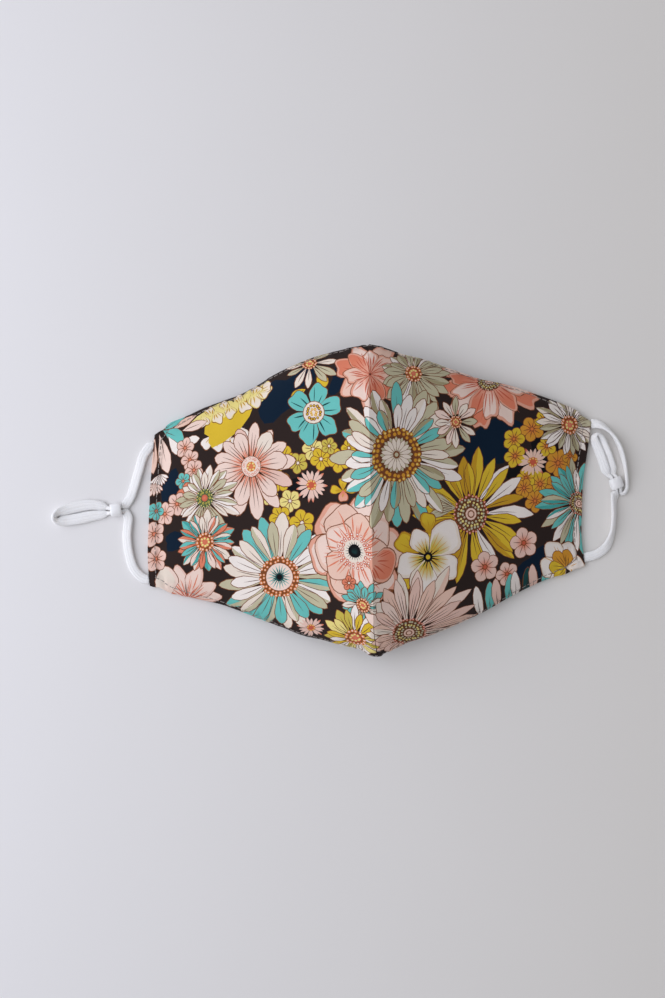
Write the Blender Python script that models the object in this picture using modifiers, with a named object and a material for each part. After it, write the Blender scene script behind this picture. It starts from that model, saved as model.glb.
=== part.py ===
"""A printed cloth face mask, lying with its hollow down on a flat surface.

The cloth is one piece: a sharp crease runs over it from the nose to the chin, a short dart shapes
each end of the crease, and the edge all round is folded under as a hem. A white elastic ear loop is
sewn into each side hem. Each loop passes twice through a small soft stopper, and its slack stands
out beyond the stopper as a closed tail. Lengths are in metres, +Y is towards the nose and +Z is up.
"""

import math
from collections import namedtuple

import bmesh
import bpy
from mathutils import Matrix, Vector

# Overall form of the cloth
HALF_WIDTH = 0.1116
NOSE_REACH = 0.0757
CHIN_REACH = 0.0755
RIDGE_HEIGHT = 0.042
NOSE_RISE = 0.021
CHIN_RISE = 0.013
NOSE_FULLNESS = 4.0
CHIN_FULLNESS = 2.6

# Cloth and hems
CLOTH = 0.0016
HEM_FOLD = 0.0024
SIDE_HEM = 0.0046
RIM_HEM = 0.005

# Darts along the crease: length from the edge, depth of the fold and half its width
NOSE_DART = 0.0125
CHIN_DART = 0.029
DART_DEPTH = 0.0009
DART_SPREAD = 0.0035

# Ear loops and stoppers
LOOP_THICK = 0.0033
LOOP_PINCHED = 0.0017
LOOP_STEP = 0.0044
LOOP_STUB = 0.0015
STRAND_SPACING = 0.0022
STOPPER_LENGTH = 0.0055
STOPPER_WALL = 0.0009
STOPPER_COVER = 0.0012
STOPPER_ROUNDING = 0.0011
CLEARANCE = 0.0003

# Fineness of the cloth's mesh
COLUMNS_PER_SECTION = 1
ROWS = 26

COLLECTION = "cloth_face_mask"

# One row for each section across the cloth, from the crease outward. out is a share of the
# way from the crease to the side hem, top and bottom are the cloth's edges as shares of the reach
# to the nose and to the chin, crown is the height half way between them as a share of the ridge, and
# top_rise and bottom_rise are the heights of the edges as shares of the rise at nose and chin.
Section = namedtuple("Section", "out top bottom crown top_rise bottom_rise")

LEFT_SECTIONS = [
    Section(0.000, 1.000, 1.000, 1.000, 1.00, 1.00),
    Section(0.025, 0.998, 0.982, 0.972, 0.99, 0.99),
    Section(0.065, 0.991, 0.938, 0.925, 0.96, 0.95),
    Section(0.150, 0.968, 0.899, 0.835, 0.87, 0.84),
    Section(0.240, 0.941, 0.850, 0.745, 0.73, 0.69),
    Section(0.330, 0.888, 0.815, 0.660, 0.58, 0.55),
    Section(0.420, 0.836, 0.749, 0.580, 0.44, 0.42),
    Section(0.510, 0.768, 0.712, 0.502, 0.33, 0.31),
    Section(0.600, 0.718, 0.673, 0.426, 0.24, 0.21),
    Section(0.690, 0.675, 0.625, 0.350, 0.16, 0.14),
    Section(0.780, 0.625, 0.588, 0.272, 0.10, 0.08),
    Section(0.870, 0.573, 0.553, 0.190, 0.05, 0.04),
    Section(0.940, 0.545, 0.532, 0.110, 0.02, 0.01),
    Section(1.000, 0.528, 0.521, 0.000, 0.00, 0.00),
]

RIGHT_SECTIONS = [
    Section(0.000, 1.000, 1.000, 1.000, 1.00, 1.00),
    Section(0.025, 0.997, 0.986, 0.972, 0.99, 0.99),
    Section(0.065, 0.976, 0.959, 0.925, 0.96, 0.95),
    Section(0.150, 0.924, 0.899, 0.835, 0.86, 0.84),
    Section(0.240, 0.895, 0.857, 0.742, 0.71, 0.69),
    Section(0.330, 0.852, 0.808, 0.655, 0.56, 0.55),
    Section(0.420, 0.814, 0.764, 0.572, 0.43, 0.42),
    Section(0.510, 0.768, 0.714, 0.494, 0.32, 0.31),
    Section(0.600, 0.735, 0.662, 0.420, 0.24, 0.21),
    Section(0.690, 0.696, 0.614, 0.346, 0.16, 0.14),
    Section(0.780, 0.641, 0.577, 0.270, 0.10, 0.08),
    Section(0.870, 0.585, 0.543, 0.190, 0.05, 0.04),
    Section(0.940, 0.541, 0.531, 0.110, 0.02, 0.01),
    Section(1.000, 0.508, 0.527, 0.000, 0.00, 0.00),
]

# How far out each side hem stands, as shares of the half width. along runs from -1 at the chin
# side's corner to 1 at the nose side's corner.
Side = namedtuple("Side", "along left right")

SIDES = [
    Side(-1.0, 0.997, 0.945),
    Side(-0.6, 1.000, 0.934),
    Side(-0.2, 0.990, 0.941),
    Side(0.2, 0.979, 0.952),
    Side(0.6, 0.963, 0.978),
    Side(1.0, 0.946, 1.000),
]

# Shallow dents and swells of the cloth: side and out place the middle across, along places it from
# chin to nose, wide and tall are shares of the half width, and depth is a share of the ridge.
Dent = namedtuple("Dent", "side out along wide tall depth")

DENTS = [
    Dent(-1, 0.30, 0.62, 0.16, 0.09, 0.022),
    Dent(-1, 0.62, -0.45, 0.12, 0.14, 0.018),
    Dent(-1, 0.55, 0.20, 0.18, 0.16, -0.016),
    Dent(1, 0.26, 0.66, 0.12, 0.10, 0.024),
    Dent(1, 0.58, -0.30, 0.16, 0.16, 0.020),
    Dent(1, 0.78, 0.40, 0.12, 0.14, -0.016),
    Dent(1, 0.30, -0.60, 0.14, 0.10, -0.018),
]

# Route of each ear loop from its upper to its lower end, in millimetres on the surface. thick is
# the share of the loop's full thickness, which is smaller inside the stopper.
LoopPoint = namedtuple("LoopPoint", "x y thick")
Loop = namedtuple("Loop", "side upper_y lower_y before_stopper tail after_stopper")
Stopper = namedtuple("Stopper", "x y turn")

LEFT_LOOP = Loop(
    side=-1,
    upper_y=0.0325,
    lower_y=-0.0336,
    before_stopper=[
        LoopPoint(-109.3, 31.6, 1.0),
        LoopPoint(-112.2, 27.6, 1.0),
        LoopPoint(-114.8, 20.0, 1.0),
        LoopPoint(-117.3, 12.6, 1.0),
        LoopPoint(-119.2, 7.6, 1.0),
        LoopPoint(-120.7, 4.6, 0.85),
    ],
    tail=[
        LoopPoint(-131.6, 3.4, 0.8),
        LoopPoint(-134.6, 4.6, 1.0),
        LoopPoint(-139.6, 5.1, 1.0),
        LoopPoint(-146.0, 4.6, 1.0),
        LoopPoint(-152.4, 3.0, 1.0),
        LoopPoint(-156.2, 1.3, 1.0),
        LoopPoint(-157.9, -0.9, 1.0),
        LoopPoint(-156.6, -2.9, 1.0),
        LoopPoint(-153.6, -3.5, 1.0),
        LoopPoint(-146.4, -3.0, 1.0),
        LoopPoint(-140.0, -1.8, 1.0),
        LoopPoint(-134.6, -0.7, 1.0),
        LoopPoint(-131.6, -0.2, 0.8),
    ],
    after_stopper=[
        LoopPoint(-121.2, -0.3, 0.7),
        LoopPoint(-120.4, -2.6, 0.9),
        LoopPoint(-121.2, -6.0, 1.0),
        LoopPoint(-121.9, -12.5, 1.0),
        LoopPoint(-121.2, -21.0, 1.0),
        LoopPoint(-119.2, -28.0, 1.0),
        LoopPoint(-116.0, -32.2, 1.0),
    ],
)

RIGHT_LOOP = Loop(
    side=1,
    upper_y=0.0345,
    lower_y=-0.0320,
    before_stopper=[
        LoopPoint(114.4, 34.4, 1.0),
        LoopPoint(118.2, 32.6, 1.0),
        LoopPoint(122.0, 28.6, 1.0),
        LoopPoint(124.9, 23.2, 1.0),
        LoopPoint(126.7, 17.0, 1.0),
        LoopPoint(127.8, 10.4, 0.9),
        LoopPoint(128.4, 5.0, 0.75),
        LoopPoint(128.2, 1.4, 0.7),
        LoopPoint(126.7, -0.9, 0.7),
        LoopPoint(125.2, -0.4, 0.6),
    ],
    tail=[
        LoopPoint(122.0, 9.6, 0.7),
        LoopPoint(121.2, 13.4, 1.0),
        LoopPoint(119.8, 18.4, 1.0),
        LoopPoint(118.1, 23.2, 1.0),
        LoopPoint(116.8, 26.4, 1.0),
        LoopPoint(115.7, 28.4, 1.0),
        LoopPoint(114.2, 29.2, 1.0),
        LoopPoint(112.9, 28.4, 1.0),
        LoopPoint(112.8, 26.7, 1.0),
        LoopPoint(113.3, 24.9, 1.0),
        LoopPoint(114.4, 21.6, 1.0),
        LoopPoint(116.0, 17.0, 1.0),
        LoopPoint(117.4, 12.2, 1.0),
        LoopPoint(119.2, 8.6, 0.7),
    ],
    after_stopper=[
        LoopPoint(122.2, -1.0, 0.8),
        LoopPoint(121.3, -4.6, 1.0),
        LoopPoint(120.9, -12.8, 1.0),
        LoopPoint(119.6, -21.0, 1.0),
        LoopPoint(116.6, -27.2, 1.0),
        LoopPoint(111.8, -30.6, 1.0),
    ],
)

# Where each stopper lies, in millimetres, and the way in degrees that the tail leaves it.
LEFT_STOPPER = Stopper(-126.5, 1.5, 186.0)
RIGHT_STOPPER = Stopper(122.8, 4.3, 109.0)

MILLIMETRE = 0.001


def clear_scene():
    for obj in list(bpy.data.objects):
        bpy.data.objects.remove(obj, do_unlink=True)


def new_collection(name, hidden=False):
    collection = bpy.data.collections.new(name)
    bpy.context.scene.collection.children.link(collection)
    collection.hide_render = hidden
    return collection


def new_material(name, colour, roughness, sheen=0.0):
    material = bpy.data.materials.new(name)
    material.use_nodes = True
    shader = material.node_tree.nodes["Principled BSDF"]
    shader.inputs["Base Color"].default_value = (*colour, 1.0)
    shader.inputs["Roughness"].default_value = roughness
    shader.inputs["Metallic"].default_value = 0.0
    shader.inputs["Sheen Weight"].default_value = sheen
    material.diffuse_color = (*colour, 1.0)
    return material


def slope_at(rows, index, key, column):
    """The slope of a column at one row, from the rows beside it."""
    before = rows[max(index - 1, 0)]
    after = rows[min(index + 1, len(rows) - 1)]
    rise = getattr(after, column) - getattr(before, column)
    return rise / (getattr(after, key) - getattr(before, key))


def read_table(rows, key, place, column):
    """The value of a column at a place between rows, on a smooth curve through all rows."""
    index = 0
    while index < len(rows) - 2 and getattr(rows[index + 1], key) < place:
        index += 1
    low, high = rows[index], rows[index + 1]
    span = getattr(high, key) - getattr(low, key)
    t = (place - getattr(low, key)) / span
    start = getattr(low, column)
    end = getattr(high, column)
    leaving = slope_at(rows, index, key, column) * span
    arriving = slope_at(rows, index + 1, key, column) * span
    return (
        (2 * t**3 - 3 * t**2 + 1) * start
        + (t**3 - 2 * t**2 + t) * leaving
        + (3 * t**2 - 2 * t**3) * end
        + (t**3 - t**2) * arriving
    )


def sections_of(side):
    return LEFT_SECTIONS if side < 0 else RIGHT_SECTIONS


def side_share(side, along):
    return read_table(SIDES, "along", along, "left" if side < 0 else "right")


def middle_y():
    """Shift that keeps the cloth's middle between nose and chin at the origin."""
    return (CHIN_REACH - NOSE_REACH) / 2


def cloth_x(side, out, hem, along):
    """Distance across. hem runs from 0 at the side hem's inner line to 1 at its outer edge."""
    dome = (HALF_WIDTH - SIDE_HEM) * out
    pulled_in = HALF_WIDTH * (1 - side_share(side, along)) * out**2
    return side * (dome - pulled_in + SIDE_HEM * hem)


def cloth_y(side, out, along):
    """Distance from chin to nose, on the cloth's inner face."""
    rows = sections_of(side)
    nose = NOSE_REACH * read_table(rows, "out", out, "top") - HEM_FOLD
    chin = HEM_FOLD - CHIN_REACH * read_table(rows, "out", out, "bottom")
    return middle_y() + chin + (nose - chin) * (along + 1) / 2


def dart_fold(side, out, y):
    """Depth of the narrow fold that each dart presses beside the crease."""
    from_nose = (middle_y() + NOSE_REACH - y) / NOSE_DART
    from_chin = (y - middle_y() + CHIN_REACH) / CHIN_DART
    nearness = max(1 - from_nose, 1 - from_chin, 0.0)
    across = (HALF_WIDTH * out - DART_SPREAD) / DART_SPREAD
    return DART_DEPTH * math.sqrt(nearness) * math.exp(-(across**2))


def dents_at(side, out, along):
    """Sum of the shallow dents, each fading to nothing at its edge."""
    total = 0.0
    for dent in DENTS:
        if dent.side != side:
            continue
        across = (out - dent.out) / dent.wide
        up = (along - dent.along) / (2 * dent.tall)
        total += RIDGE_HEIGHT * dent.depth * math.exp(-(across**2) - up**2)
    return total


def cloth_z(side, out, hem, along, y):
    """Height of the cloth's inner face above the surface that the mask lies on."""
    if hem > 0 or out >= 1:
        return 0.0
    rows = sections_of(side)
    crown = (RIDGE_HEIGHT - CLOTH) * read_table(rows, "out", out, "crown")
    if along > 0:
        edge = NOSE_RISE * read_table(rows, "out", out, "top_rise")
        fullness = NOSE_FULLNESS
    else:
        edge = CHIN_RISE * read_table(rows, "out", out, "bottom_rise")
        fullness = CHIN_FULLNESS
    bulge = math.sqrt(max(1 - abs(along) ** fullness, 0.0))
    sink = dents_at(side, out, along) + dart_fold(side, out, y)
    return max(edge + (crown - edge) * bulge - sink * bulge, 0.0)


def column_places(side):
    """Pairs of out and hem for each column of the mesh, from the crease to the side's edge."""
    rows = sections_of(side)
    places = []
    for low, high in zip(rows, rows[1:]):
        for step in range(COLUMNS_PER_SECTION + 1):
            share = step / (COLUMNS_PER_SECTION + 1)
            places.append((low.out + (high.out - low.out) * share, 0.0))
    places.append((1.0, 0.0))
    places.append((1.0, 0.5))
    places.append((1.0, 1.0))
    return places


def row_places():
    """Places from chin to nose, closer together at both edges, where the cloth turns down."""
    return [math.sin(math.pi / 2 * (2 * step / ROWS - 1)) for step in range(ROWS + 1)]


def all_columns():
    left = [(-1, out, hem) for out, hem in reversed(column_places(-1)) if out > 0]
    right = [(1, out, hem) for out, hem in column_places(1)]
    return left + right


def hem_share(out, hem, along, y_from_edge):
    """1 on the folded hem, 0 on the single cloth."""
    on_rim = y_from_edge < RIM_HEM / 2 and abs(along) > 0.5
    return 1.0 if hem > 0 or out >= 1 or on_rim else 0.0


def add_mask_shell(collection, material):
    bm = bmesh.new()
    folds = []
    grid = []
    for side, out, hem in all_columns():
        edges = cloth_y(side, out, -1.0), cloth_y(side, out, 1.0)
        column = []
        for along in row_places():
            y = cloth_y(side, out, along)
            place = (cloth_x(side, out, hem, along), y, cloth_z(side, out, hem, along, y))
            column.append(bm.verts.new(place))
            folds.append(hem_share(out, hem, along, min(y - edges[0], edges[1] - y)))
        grid.append(column)
    for left, right in zip(grid, grid[1:]):
        for row in range(ROWS):
            bm.faces.new((left[row], right[row], right[row + 1], left[row + 1]))
    mesh = bpy.data.meshes.new("mask_shell")
    bm.to_mesh(mesh)
    bm.free()
    shell = bpy.data.objects.new("mask_shell", mesh)
    collection.objects.link(shell)
    group = shell.vertex_groups.new(name="hem")
    for index, share in enumerate(folds):
        group.add([index], share, "REPLACE")
    wall = shell.modifiers.new("cloth", "SOLIDIFY")
    wall.thickness = HEM_FOLD
    wall.offset = 1.0
    wall.vertex_group = "hem"
    wall.thickness_vertex_group = CLOTH / HEM_FOLD
    mesh.materials.append(material)
    mesh.shade_smooth()
    return shell


def hem_edge(side, y):
    """The point of the side hem's outer edge at this y, and the way straight out from there."""
    low, high = cloth_y(side, 1.0, -1.0), cloth_y(side, 1.0, 1.0)
    along = 2 * (y - low) / (high - low) - 1
    step = 0.05
    x = cloth_x(side, 1.0, 1.0, along)
    lean = cloth_x(side, 1.0, 1.0, along + step) - cloth_x(side, 1.0, 1.0, along - step)
    run = (high - low) * step
    out = Vector((side * run, -side * lean)).normalized()
    return Vector((x, y)), out


def stopper_size():
    """Width across both strands, height, and the hole's own width and height."""
    hole_width = STRAND_SPACING + LOOP_PINCHED + 2 * CLEARANCE
    hole_height = LOOP_PINCHED + 2 * CLEARANCE
    return (
        hole_width + 2 * STOPPER_WALL,
        hole_height + 2 * STOPPER_COVER,
        hole_width,
        hole_height,
    )


def strand_in_stopper(stopper, offset, towards_tail):
    """Three points of a strand straight through the stopper, offset to the side of its middle."""
    turn = math.radians(stopper.turn)
    way = Vector((math.cos(turn), math.sin(turn), 0.0))
    across = Vector((-way.y, way.x, 0.0))
    height = stopper_size()[1] / 2
    middle = Vector((stopper.x * MILLIMETRE, stopper.y * MILLIMETRE, height)) + across * offset
    reach = STOPPER_LENGTH / 2 + CLEARANCE
    share = LOOP_PINCHED / LOOP_THICK
    points = [(middle + way * reach * step, share) for step in (-1, 0, 1)]
    return points if towards_tail else points[::-1]


def lying(points):
    """Route points resting on the surface: each stands half the loop's thickness above it."""
    return [
        (Vector((p.x * MILLIMETRE, p.y * MILLIMETRE, LOOP_THICK * p.thick / 2)), p.thick)
        for p in points
    ]


def loop_route(loop, stopper):
    """All route points of one loop, each with its share of the full thickness."""
    ends = []
    for y in (loop.upper_y, loop.lower_y):
        edge, out = hem_edge(loop.side, y)
        for reach in (CLEARANCE, CLEARANCE + LOOP_STUB):
            place = edge + out * reach
            ends.append((Vector((place.x, place.y, LOOP_THICK / 2)), 1.0))
    offset = loop.side * STRAND_SPACING / 2
    inward = strand_in_stopper(stopper, -offset if loop.side > 0 else offset, True)
    back = strand_in_stopper(stopper, offset if loop.side > 0 else -offset, False)
    return (
        ends[:2]
        + lying(loop.before_stopper)
        + inward
        + lying(loop.tail)
        + back
        + lying(loop.after_stopper)
        + ends[:1:-1]
    )


def smooth_through(route):
    """Points on a smooth curve through the route, about LOOP_STEP apart, with their thickness."""
    path = []
    for index in range(len(route) - 1):
        before = route[max(index - 1, 0)]
        start, end = route[index], route[index + 1]
        after = route[min(index + 2, len(route) - 1)]
        pieces = max(1, round((end[0] - start[0]).length / LOOP_STEP))
        for piece in range(pieces):
            t = piece / pieces
            leaving = (end[0] - before[0]) / 2
            arriving = (after[0] - start[0]) / 2
            place = (
                start[0] * (2 * t**3 - 3 * t**2 + 1)
                + leaving * (t**3 - 2 * t**2 + t)
                + end[0] * (3 * t**2 - 2 * t**3)
                + arriving * (t**3 - t**2)
            )
            thick = start[1] + (end[1] - start[1]) * t
            path.append((place, thick))
    path.append(route[-1])
    return path


def add_loop(name, loop, stopper, collection, material):
    path = smooth_through(loop_route(loop, stopper))
    curve = bpy.data.curves.new(name, "CURVE")
    curve.dimensions = "3D"
    curve.bevel_depth = LOOP_THICK / 2
    curve.bevel_resolution = 2
    curve.use_fill_caps = True
    spline = curve.splines.new("POLY")
    spline.points.add(len(path) - 1)
    for point, (place, thick) in zip(spline.points, path):
        point.co = (*place, 1.0)
        point.radius = thick
    curve.materials.append(material)
    cord = bpy.data.objects.new(name, curve)
    collection.objects.link(cord)
    return cord


def oval_outline(name, width, height, depth):
    """A flat oval standing upright, extruded along local X."""
    curve = bpy.data.curves.new(name, "CURVE")
    curve.dimensions = "2D"
    curve.fill_mode = "BOTH"
    curve.extrude = depth / 2
    spline = curve.splines.new("POLY")
    steps = 20
    spline.points.add(steps - 1)
    straight = (width - height) / 2
    for index, point in enumerate(spline.points):
        angle = 2 * math.pi * (index + 0.5) / steps
        shift = math.copysign(straight, math.cos(angle))
        across = shift + height / 2 * math.cos(angle)
        point.co = (across, height / 2 * math.sin(angle), 0.0, 1.0)
    spline.use_cyclic_u = True
    return curve


def add_stopper(name, stopper, collection, cutters, material):
    """A small rounded block with one oval hole, through which the loop passes twice."""
    width, height, hole_width, hole_height = stopper_size()
    place = Vector((stopper.x * MILLIMETRE, stopper.y * MILLIMETRE, height / 2))
    turn = math.radians(stopper.turn)

    bpy.ops.mesh.primitive_cube_add(size=1.0)
    block = bpy.context.active_object
    block.name = name
    block.data.name = name
    block.data.transform(Matrix.Diagonal((STOPPER_LENGTH, width, height, 1.0)))
    for owner in list(block.users_collection):
        owner.objects.unlink(block)
    collection.objects.link(block)
    rounding = block.modifiers.new("rounding", "BEVEL")
    rounding.width = min(STOPPER_ROUNDING, STOPPER_COVER * 0.95, STOPPER_WALL * 1.4)
    rounding.segments = 3

    outline = oval_outline(name + "_hole", hole_width, hole_height, STOPPER_LENGTH * 2)
    guide = bpy.data.objects.new(name + "_hole", outline)
    cutters.objects.link(guide)
    guide.rotation_euler = (math.pi / 2, 0.0, math.pi / 2)
    bpy.context.view_layer.update()
    hole_mesh = bpy.data.meshes.new_from_object(
        guide.evaluated_get(bpy.context.evaluated_depsgraph_get())
    )
    hole_mesh.transform(guide.matrix_world)
    bpy.data.objects.remove(guide, do_unlink=True)
    weld(hole_mesh)
    hole = bpy.data.objects.new(name + "_hole", hole_mesh)
    hole.hide_render = True
    hole.display_type = "WIRE"
    cutters.objects.link(hole)

    for obj in (block, hole):
        obj.location = place
        obj.rotation_euler = (0.0, 0.0, turn)
    cut = block.modifiers.new("hole", "BOOLEAN")
    cut.operation = "DIFFERENCE"
    cut.object = hole
    block.data.materials.append(material)
    block.data.shade_smooth()
    return block


def weld(mesh):
    bm = bmesh.new()
    bm.from_mesh(mesh)
    bmesh.ops.remove_doubles(bm, verts=bm.verts, dist=0.000001)
    bmesh.ops.recalc_face_normals(bm, faces=bm.faces)
    bm.to_mesh(mesh)
    bm.free()


def build():
    clear_scene()
    mask = new_collection(COLLECTION)
    cutters = new_collection("cutters", hidden=True)
    cloth = new_material("printed_cloth", (0.13, 0.085, 0.09), 0.85, sheen=0.15)
    elastic = new_material("white_elastic", (0.86, 0.87, 0.88), 0.8, sheen=0.2)
    silicone = new_material("white_silicone", (0.82, 0.82, 0.83), 0.45)
    add_mask_shell(mask, cloth)
    add_stopper("cord_stopper_left", LEFT_STOPPER, mask, cutters, silicone)
    add_stopper("cord_stopper_right", RIGHT_STOPPER, mask, cutters, silicone)
    add_loop("ear_loop_left", LEFT_LOOP, LEFT_STOPPER, mask, elastic)
    add_loop("ear_loop_right", RIGHT_LOOP, RIGHT_STOPPER, mask, elastic)


build()
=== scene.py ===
# Printed cloth face mask, lying with its hollow down, with its two ear loops laid beside it
import math

import bmesh
import bpy
import numpy as np
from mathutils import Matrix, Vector
from mathutils.geometry import delaunay_2d_cdt


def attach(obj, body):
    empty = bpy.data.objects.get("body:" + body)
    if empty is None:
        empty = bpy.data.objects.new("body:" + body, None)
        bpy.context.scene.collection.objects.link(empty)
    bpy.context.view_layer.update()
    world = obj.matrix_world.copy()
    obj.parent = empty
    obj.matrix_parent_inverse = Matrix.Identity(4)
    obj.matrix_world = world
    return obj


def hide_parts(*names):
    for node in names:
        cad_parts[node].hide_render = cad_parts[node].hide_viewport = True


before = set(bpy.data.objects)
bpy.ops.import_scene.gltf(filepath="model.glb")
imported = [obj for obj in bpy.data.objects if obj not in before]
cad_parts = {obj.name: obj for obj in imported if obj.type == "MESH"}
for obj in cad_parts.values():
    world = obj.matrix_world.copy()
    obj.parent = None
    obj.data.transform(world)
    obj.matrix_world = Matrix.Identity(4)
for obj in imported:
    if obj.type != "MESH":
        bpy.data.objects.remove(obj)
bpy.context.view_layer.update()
mm = 0.001


# Reading the photograph's frame

photo = {
    "middle": (372.5, 500.0),  # the pixel that lies over the crease, half way down the mask
    "metresPerPixel": 0.0005,
    "turn": 2.4,  # degrees that the mask lies turned in the picture
    "crease": (0.0013, 0.00105),  # where that pixel falls on the table, in the part's frame
    "width": 665,
    "height": 998,
    "cameraHeight": 0.55,
    "clothTilt": 0.97,  # cosine of the cloth's usual slope
}


def onTable(px, py):  # the point of the table under a pixel
    turn = math.radians(photo["turn"])
    dx = (px - photo["middle"][0]) * photo["metresPerPixel"]
    dy = (photo["middle"][1] - py) * photo["metresPerPixel"]
    x = dx * math.cos(turn) + dy * math.sin(turn) + photo["crease"][0]
    y = dy * math.cos(turn) - dx * math.sin(turn) + photo["crease"][1]
    return x, y


cameraSpot = onTable(photo["width"] / 2, photo["height"] / 2)


def toTable(points):  # where points seen by the camera fall on the table
    points = np.asarray(points)
    reach = photo["cameraHeight"] / (photo["cameraHeight"] - points[..., 2:3])
    spot = np.array(cameraSpot)
    return spot + (points[..., :2] - spot) * reach


def linked(name, data):  # a new object in the scene
    made = bpy.data.objects.new(name, data)
    bpy.context.scene.collection.objects.link(made)
    return made


def addCamera():
    data = bpy.data.cameras.new("camera")
    data.sensor_fit = "HORIZONTAL"
    data.sensor_width = 36.0
    width = photo["width"] * photo["metresPerPixel"]
    data.lens = data.sensor_width * photo["cameraHeight"] / width
    data.clip_start = 0.01
    camera = linked("camera", data)
    camera.location = (*cameraSpot, photo["cameraHeight"])
    camera.rotation_euler = (0.0, 0.0, -math.radians(photo["turn"]))
    bpy.context.scene.camera = camera


addCamera()
print("camera set")


# Shared maths

def inkToLinear(ink):  # 0 to 255 as seen, to the linear colour that a shader takes
    share = np.asarray(ink, dtype=float) / 255
    return np.where(share <= 0.04045, share / 12.92, ((share + 0.055) / 1.055) ** 2.4)


def smoothStep(x):
    x = np.clip(x, 0.0, 1.0)
    return x * x * (3 - 2 * x)


def hermite(t, first, slope, second, nextSlope, span=1.0):  # a smooth curve between two points
    return (
        (2 * t**3 - 3 * t**2 + 1) * first
        + (t**3 - 2 * t**2 + t) * slope * span
        + (3 * t**2 - 2 * t**3) * second
        + (t**3 - t**2) * nextSlope * span
    )


def smoothTable(places, values, x):  # a smooth curve through the rows of a table
    places, values = np.asarray(places, float), np.asarray(values, float)
    slopes = np.empty_like(values)
    slopes[1:-1] = (values[2:] - values[:-2]) / (places[2:] - places[:-2])
    slopes[0] = (values[1] - values[0]) / (places[1] - places[0])
    slopes[-1] = (values[-1] - values[-2]) / (places[-1] - places[-2])
    low = np.clip(np.searchsorted(places, x, side="right") - 1, 0, len(places) - 2)
    span = places[low + 1] - places[low]
    t = (x - places[low]) / span
    return hermite(t, values[low], slopes[low], values[low + 1], slopes[low + 1], span)


def unit(vectors):
    return vectors / np.maximum(np.linalg.norm(vectors, axis=-1, keepdims=True), 1e-12)


def inside(points, polygon):  # which points lie inside a closed outline
    hit = np.zeros(len(points), dtype=bool)
    x, y = points[:, 0], points[:, 1]
    for (x0, y0), (x1, y1) in zip(polygon, np.roll(polygon, -1, axis=0)):
        if y0 == y1:
            continue
        crosses = (y0 > y) != (y1 > y)
        hit ^= crosses & (x < (x1 - x0) * (y - y0) / (y1 - y0) + x0)
    return hit


# Materials

def rgba(ink):
    return (*inkToLinear(ink), 1.0)


def fill(tree, node, values):  # values to set, or outputs of other nodes to link
    for label, value in values.items():
        if isinstance(value, bpy.types.NodeSocket):
            tree.links.new(value, node.inputs[label])
        else:
            node.inputs[label].default_value = value


def addNode(tree, kind, values, **settings):
    node = tree.nodes.new(kind)
    for key, value in settings.items():
        setattr(node, key, value)
    fill(tree, node, values)
    return node.outputs


def mathNode(tree, operation, *values):
    return addNode(tree, "ShaderNodeMath", dict(enumerate(values)), operation=operation)[0]


def scaled(tree, value, factor, more):  # value * factor + more
    return mathNode(tree, "ADD", mathNode(tree, "MULTIPLY", value, factor), more)


def cloudiness(tree, place, scale, detail=2.0):
    values = {"Vector": place, "Scale": scale, "Detail": detail}
    return addNode(tree, "ShaderNodeTexNoise", values)[0]


def newGroup(name, inputs):  # reads threads in metres, gives a height for bumps and a painted shade, darker where the threads dip
    group = bpy.data.node_groups.new(name, "ShaderNodeTree")
    face = group.interface
    face.new_socket(name="Threads", in_out="INPUT", socket_type="NodeSocketVector")
    for label in inputs:
        face.new_socket(name=label, in_out="INPUT", socket_type="NodeSocketFloat")
    for label in ("Height", "Shade"):
        face.new_socket(name=label, in_out="OUTPUT", socket_type="NodeSocketFloat")
    given, made = group.nodes.new("NodeGroupInput").outputs, group.nodes.new("NodeGroupOutput")
    return group, given, made, addNode(group, "ShaderNodeSeparateXYZ", {0: given["Threads"]})


def buildWeave():  # threads crossing over and under, with slubs
    group, given, made, threads = newGroup("weave", ("Pitch", "Slub"))
    waves = []
    for axis in ("X", "Y"):
        turns = mathNode(group, "DIVIDE", threads[axis], given["Pitch"])
        waves.append(mathNode(group, "SINE", mathNode(group, "MULTIPLY", turns, math.pi)))
    crossing = mathNode(group, "MULTIPLY", waves[0], waves[1])
    noise = cloudiness(group, given["Threads"], 900.0, 3.0)
    height = scaled(group, crossing, 0.5, mathNode(group, "MULTIPLY", noise, given["Slub"]))
    # painted shade: the colour is darker where the threads dip between crossings and lighter on
    # their crowns
    fill(group, made, {"Height": height, "Shade": scaled(group, height, 0.12, 0.93)})
    return group


# Ribs along the elastic, each of V-shaped stitches. Across and Along are sizes of one stitch.
def buildKnit():
    group, given, made, threads = newGroup("knit", ("Across", "Along", "Fuzz"))
    column = mathNode(group, "DIVIDE", threads["X"], given["Across"])
    inColumn = mathNode(group, "SUBTRACT", mathNode(group, "FRACT", column), 0.5)
    fromMiddle = mathNode(group, "ABSOLUTE", inColumn)
    rib = mathNode(group, "COSINE", mathNode(group, "MULTIPLY", fromMiddle, math.pi))
    row = mathNode(group, "DIVIDE", threads["Y"], given["Along"])
    slanted = scaled(group, fromMiddle, 1.2, row)
    stitches = mathNode(group, "SINE", mathNode(group, "MULTIPLY", slanted, 2 * math.pi))
    noise = cloudiness(group, given["Threads"], 1400.0, 3.0)
    fuzz = mathNode(group, "MULTIPLY", noise, given["Fuzz"])
    height = mathNode(group, "ADD", scaled(group, stitches, 0.35, rib), fuzz)
    # painted shade: the elastic's colour is darker in the grooves between stitches
    fill(group, made, {"Height": height, "Shade": scaled(group, height, 0.07, 0.90)})
    return group


weave = buildWeave()
knitted = buildKnit()


def addMaterial(name, paint):  # paint builds the nodes and gives the shader's inputs
    material = bpy.data.materials.new(name)
    material.use_nodes = True
    tree = material.node_tree
    fill(tree, tree.nodes["Principled BSDF"], paint(tree))
    return material


def bumped(tree, height, strength, distance):
    values = {"Height": height, "Strength": strength, "Distance": distance}
    return addNode(tree, "ShaderNodeBump", values)[0]


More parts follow.
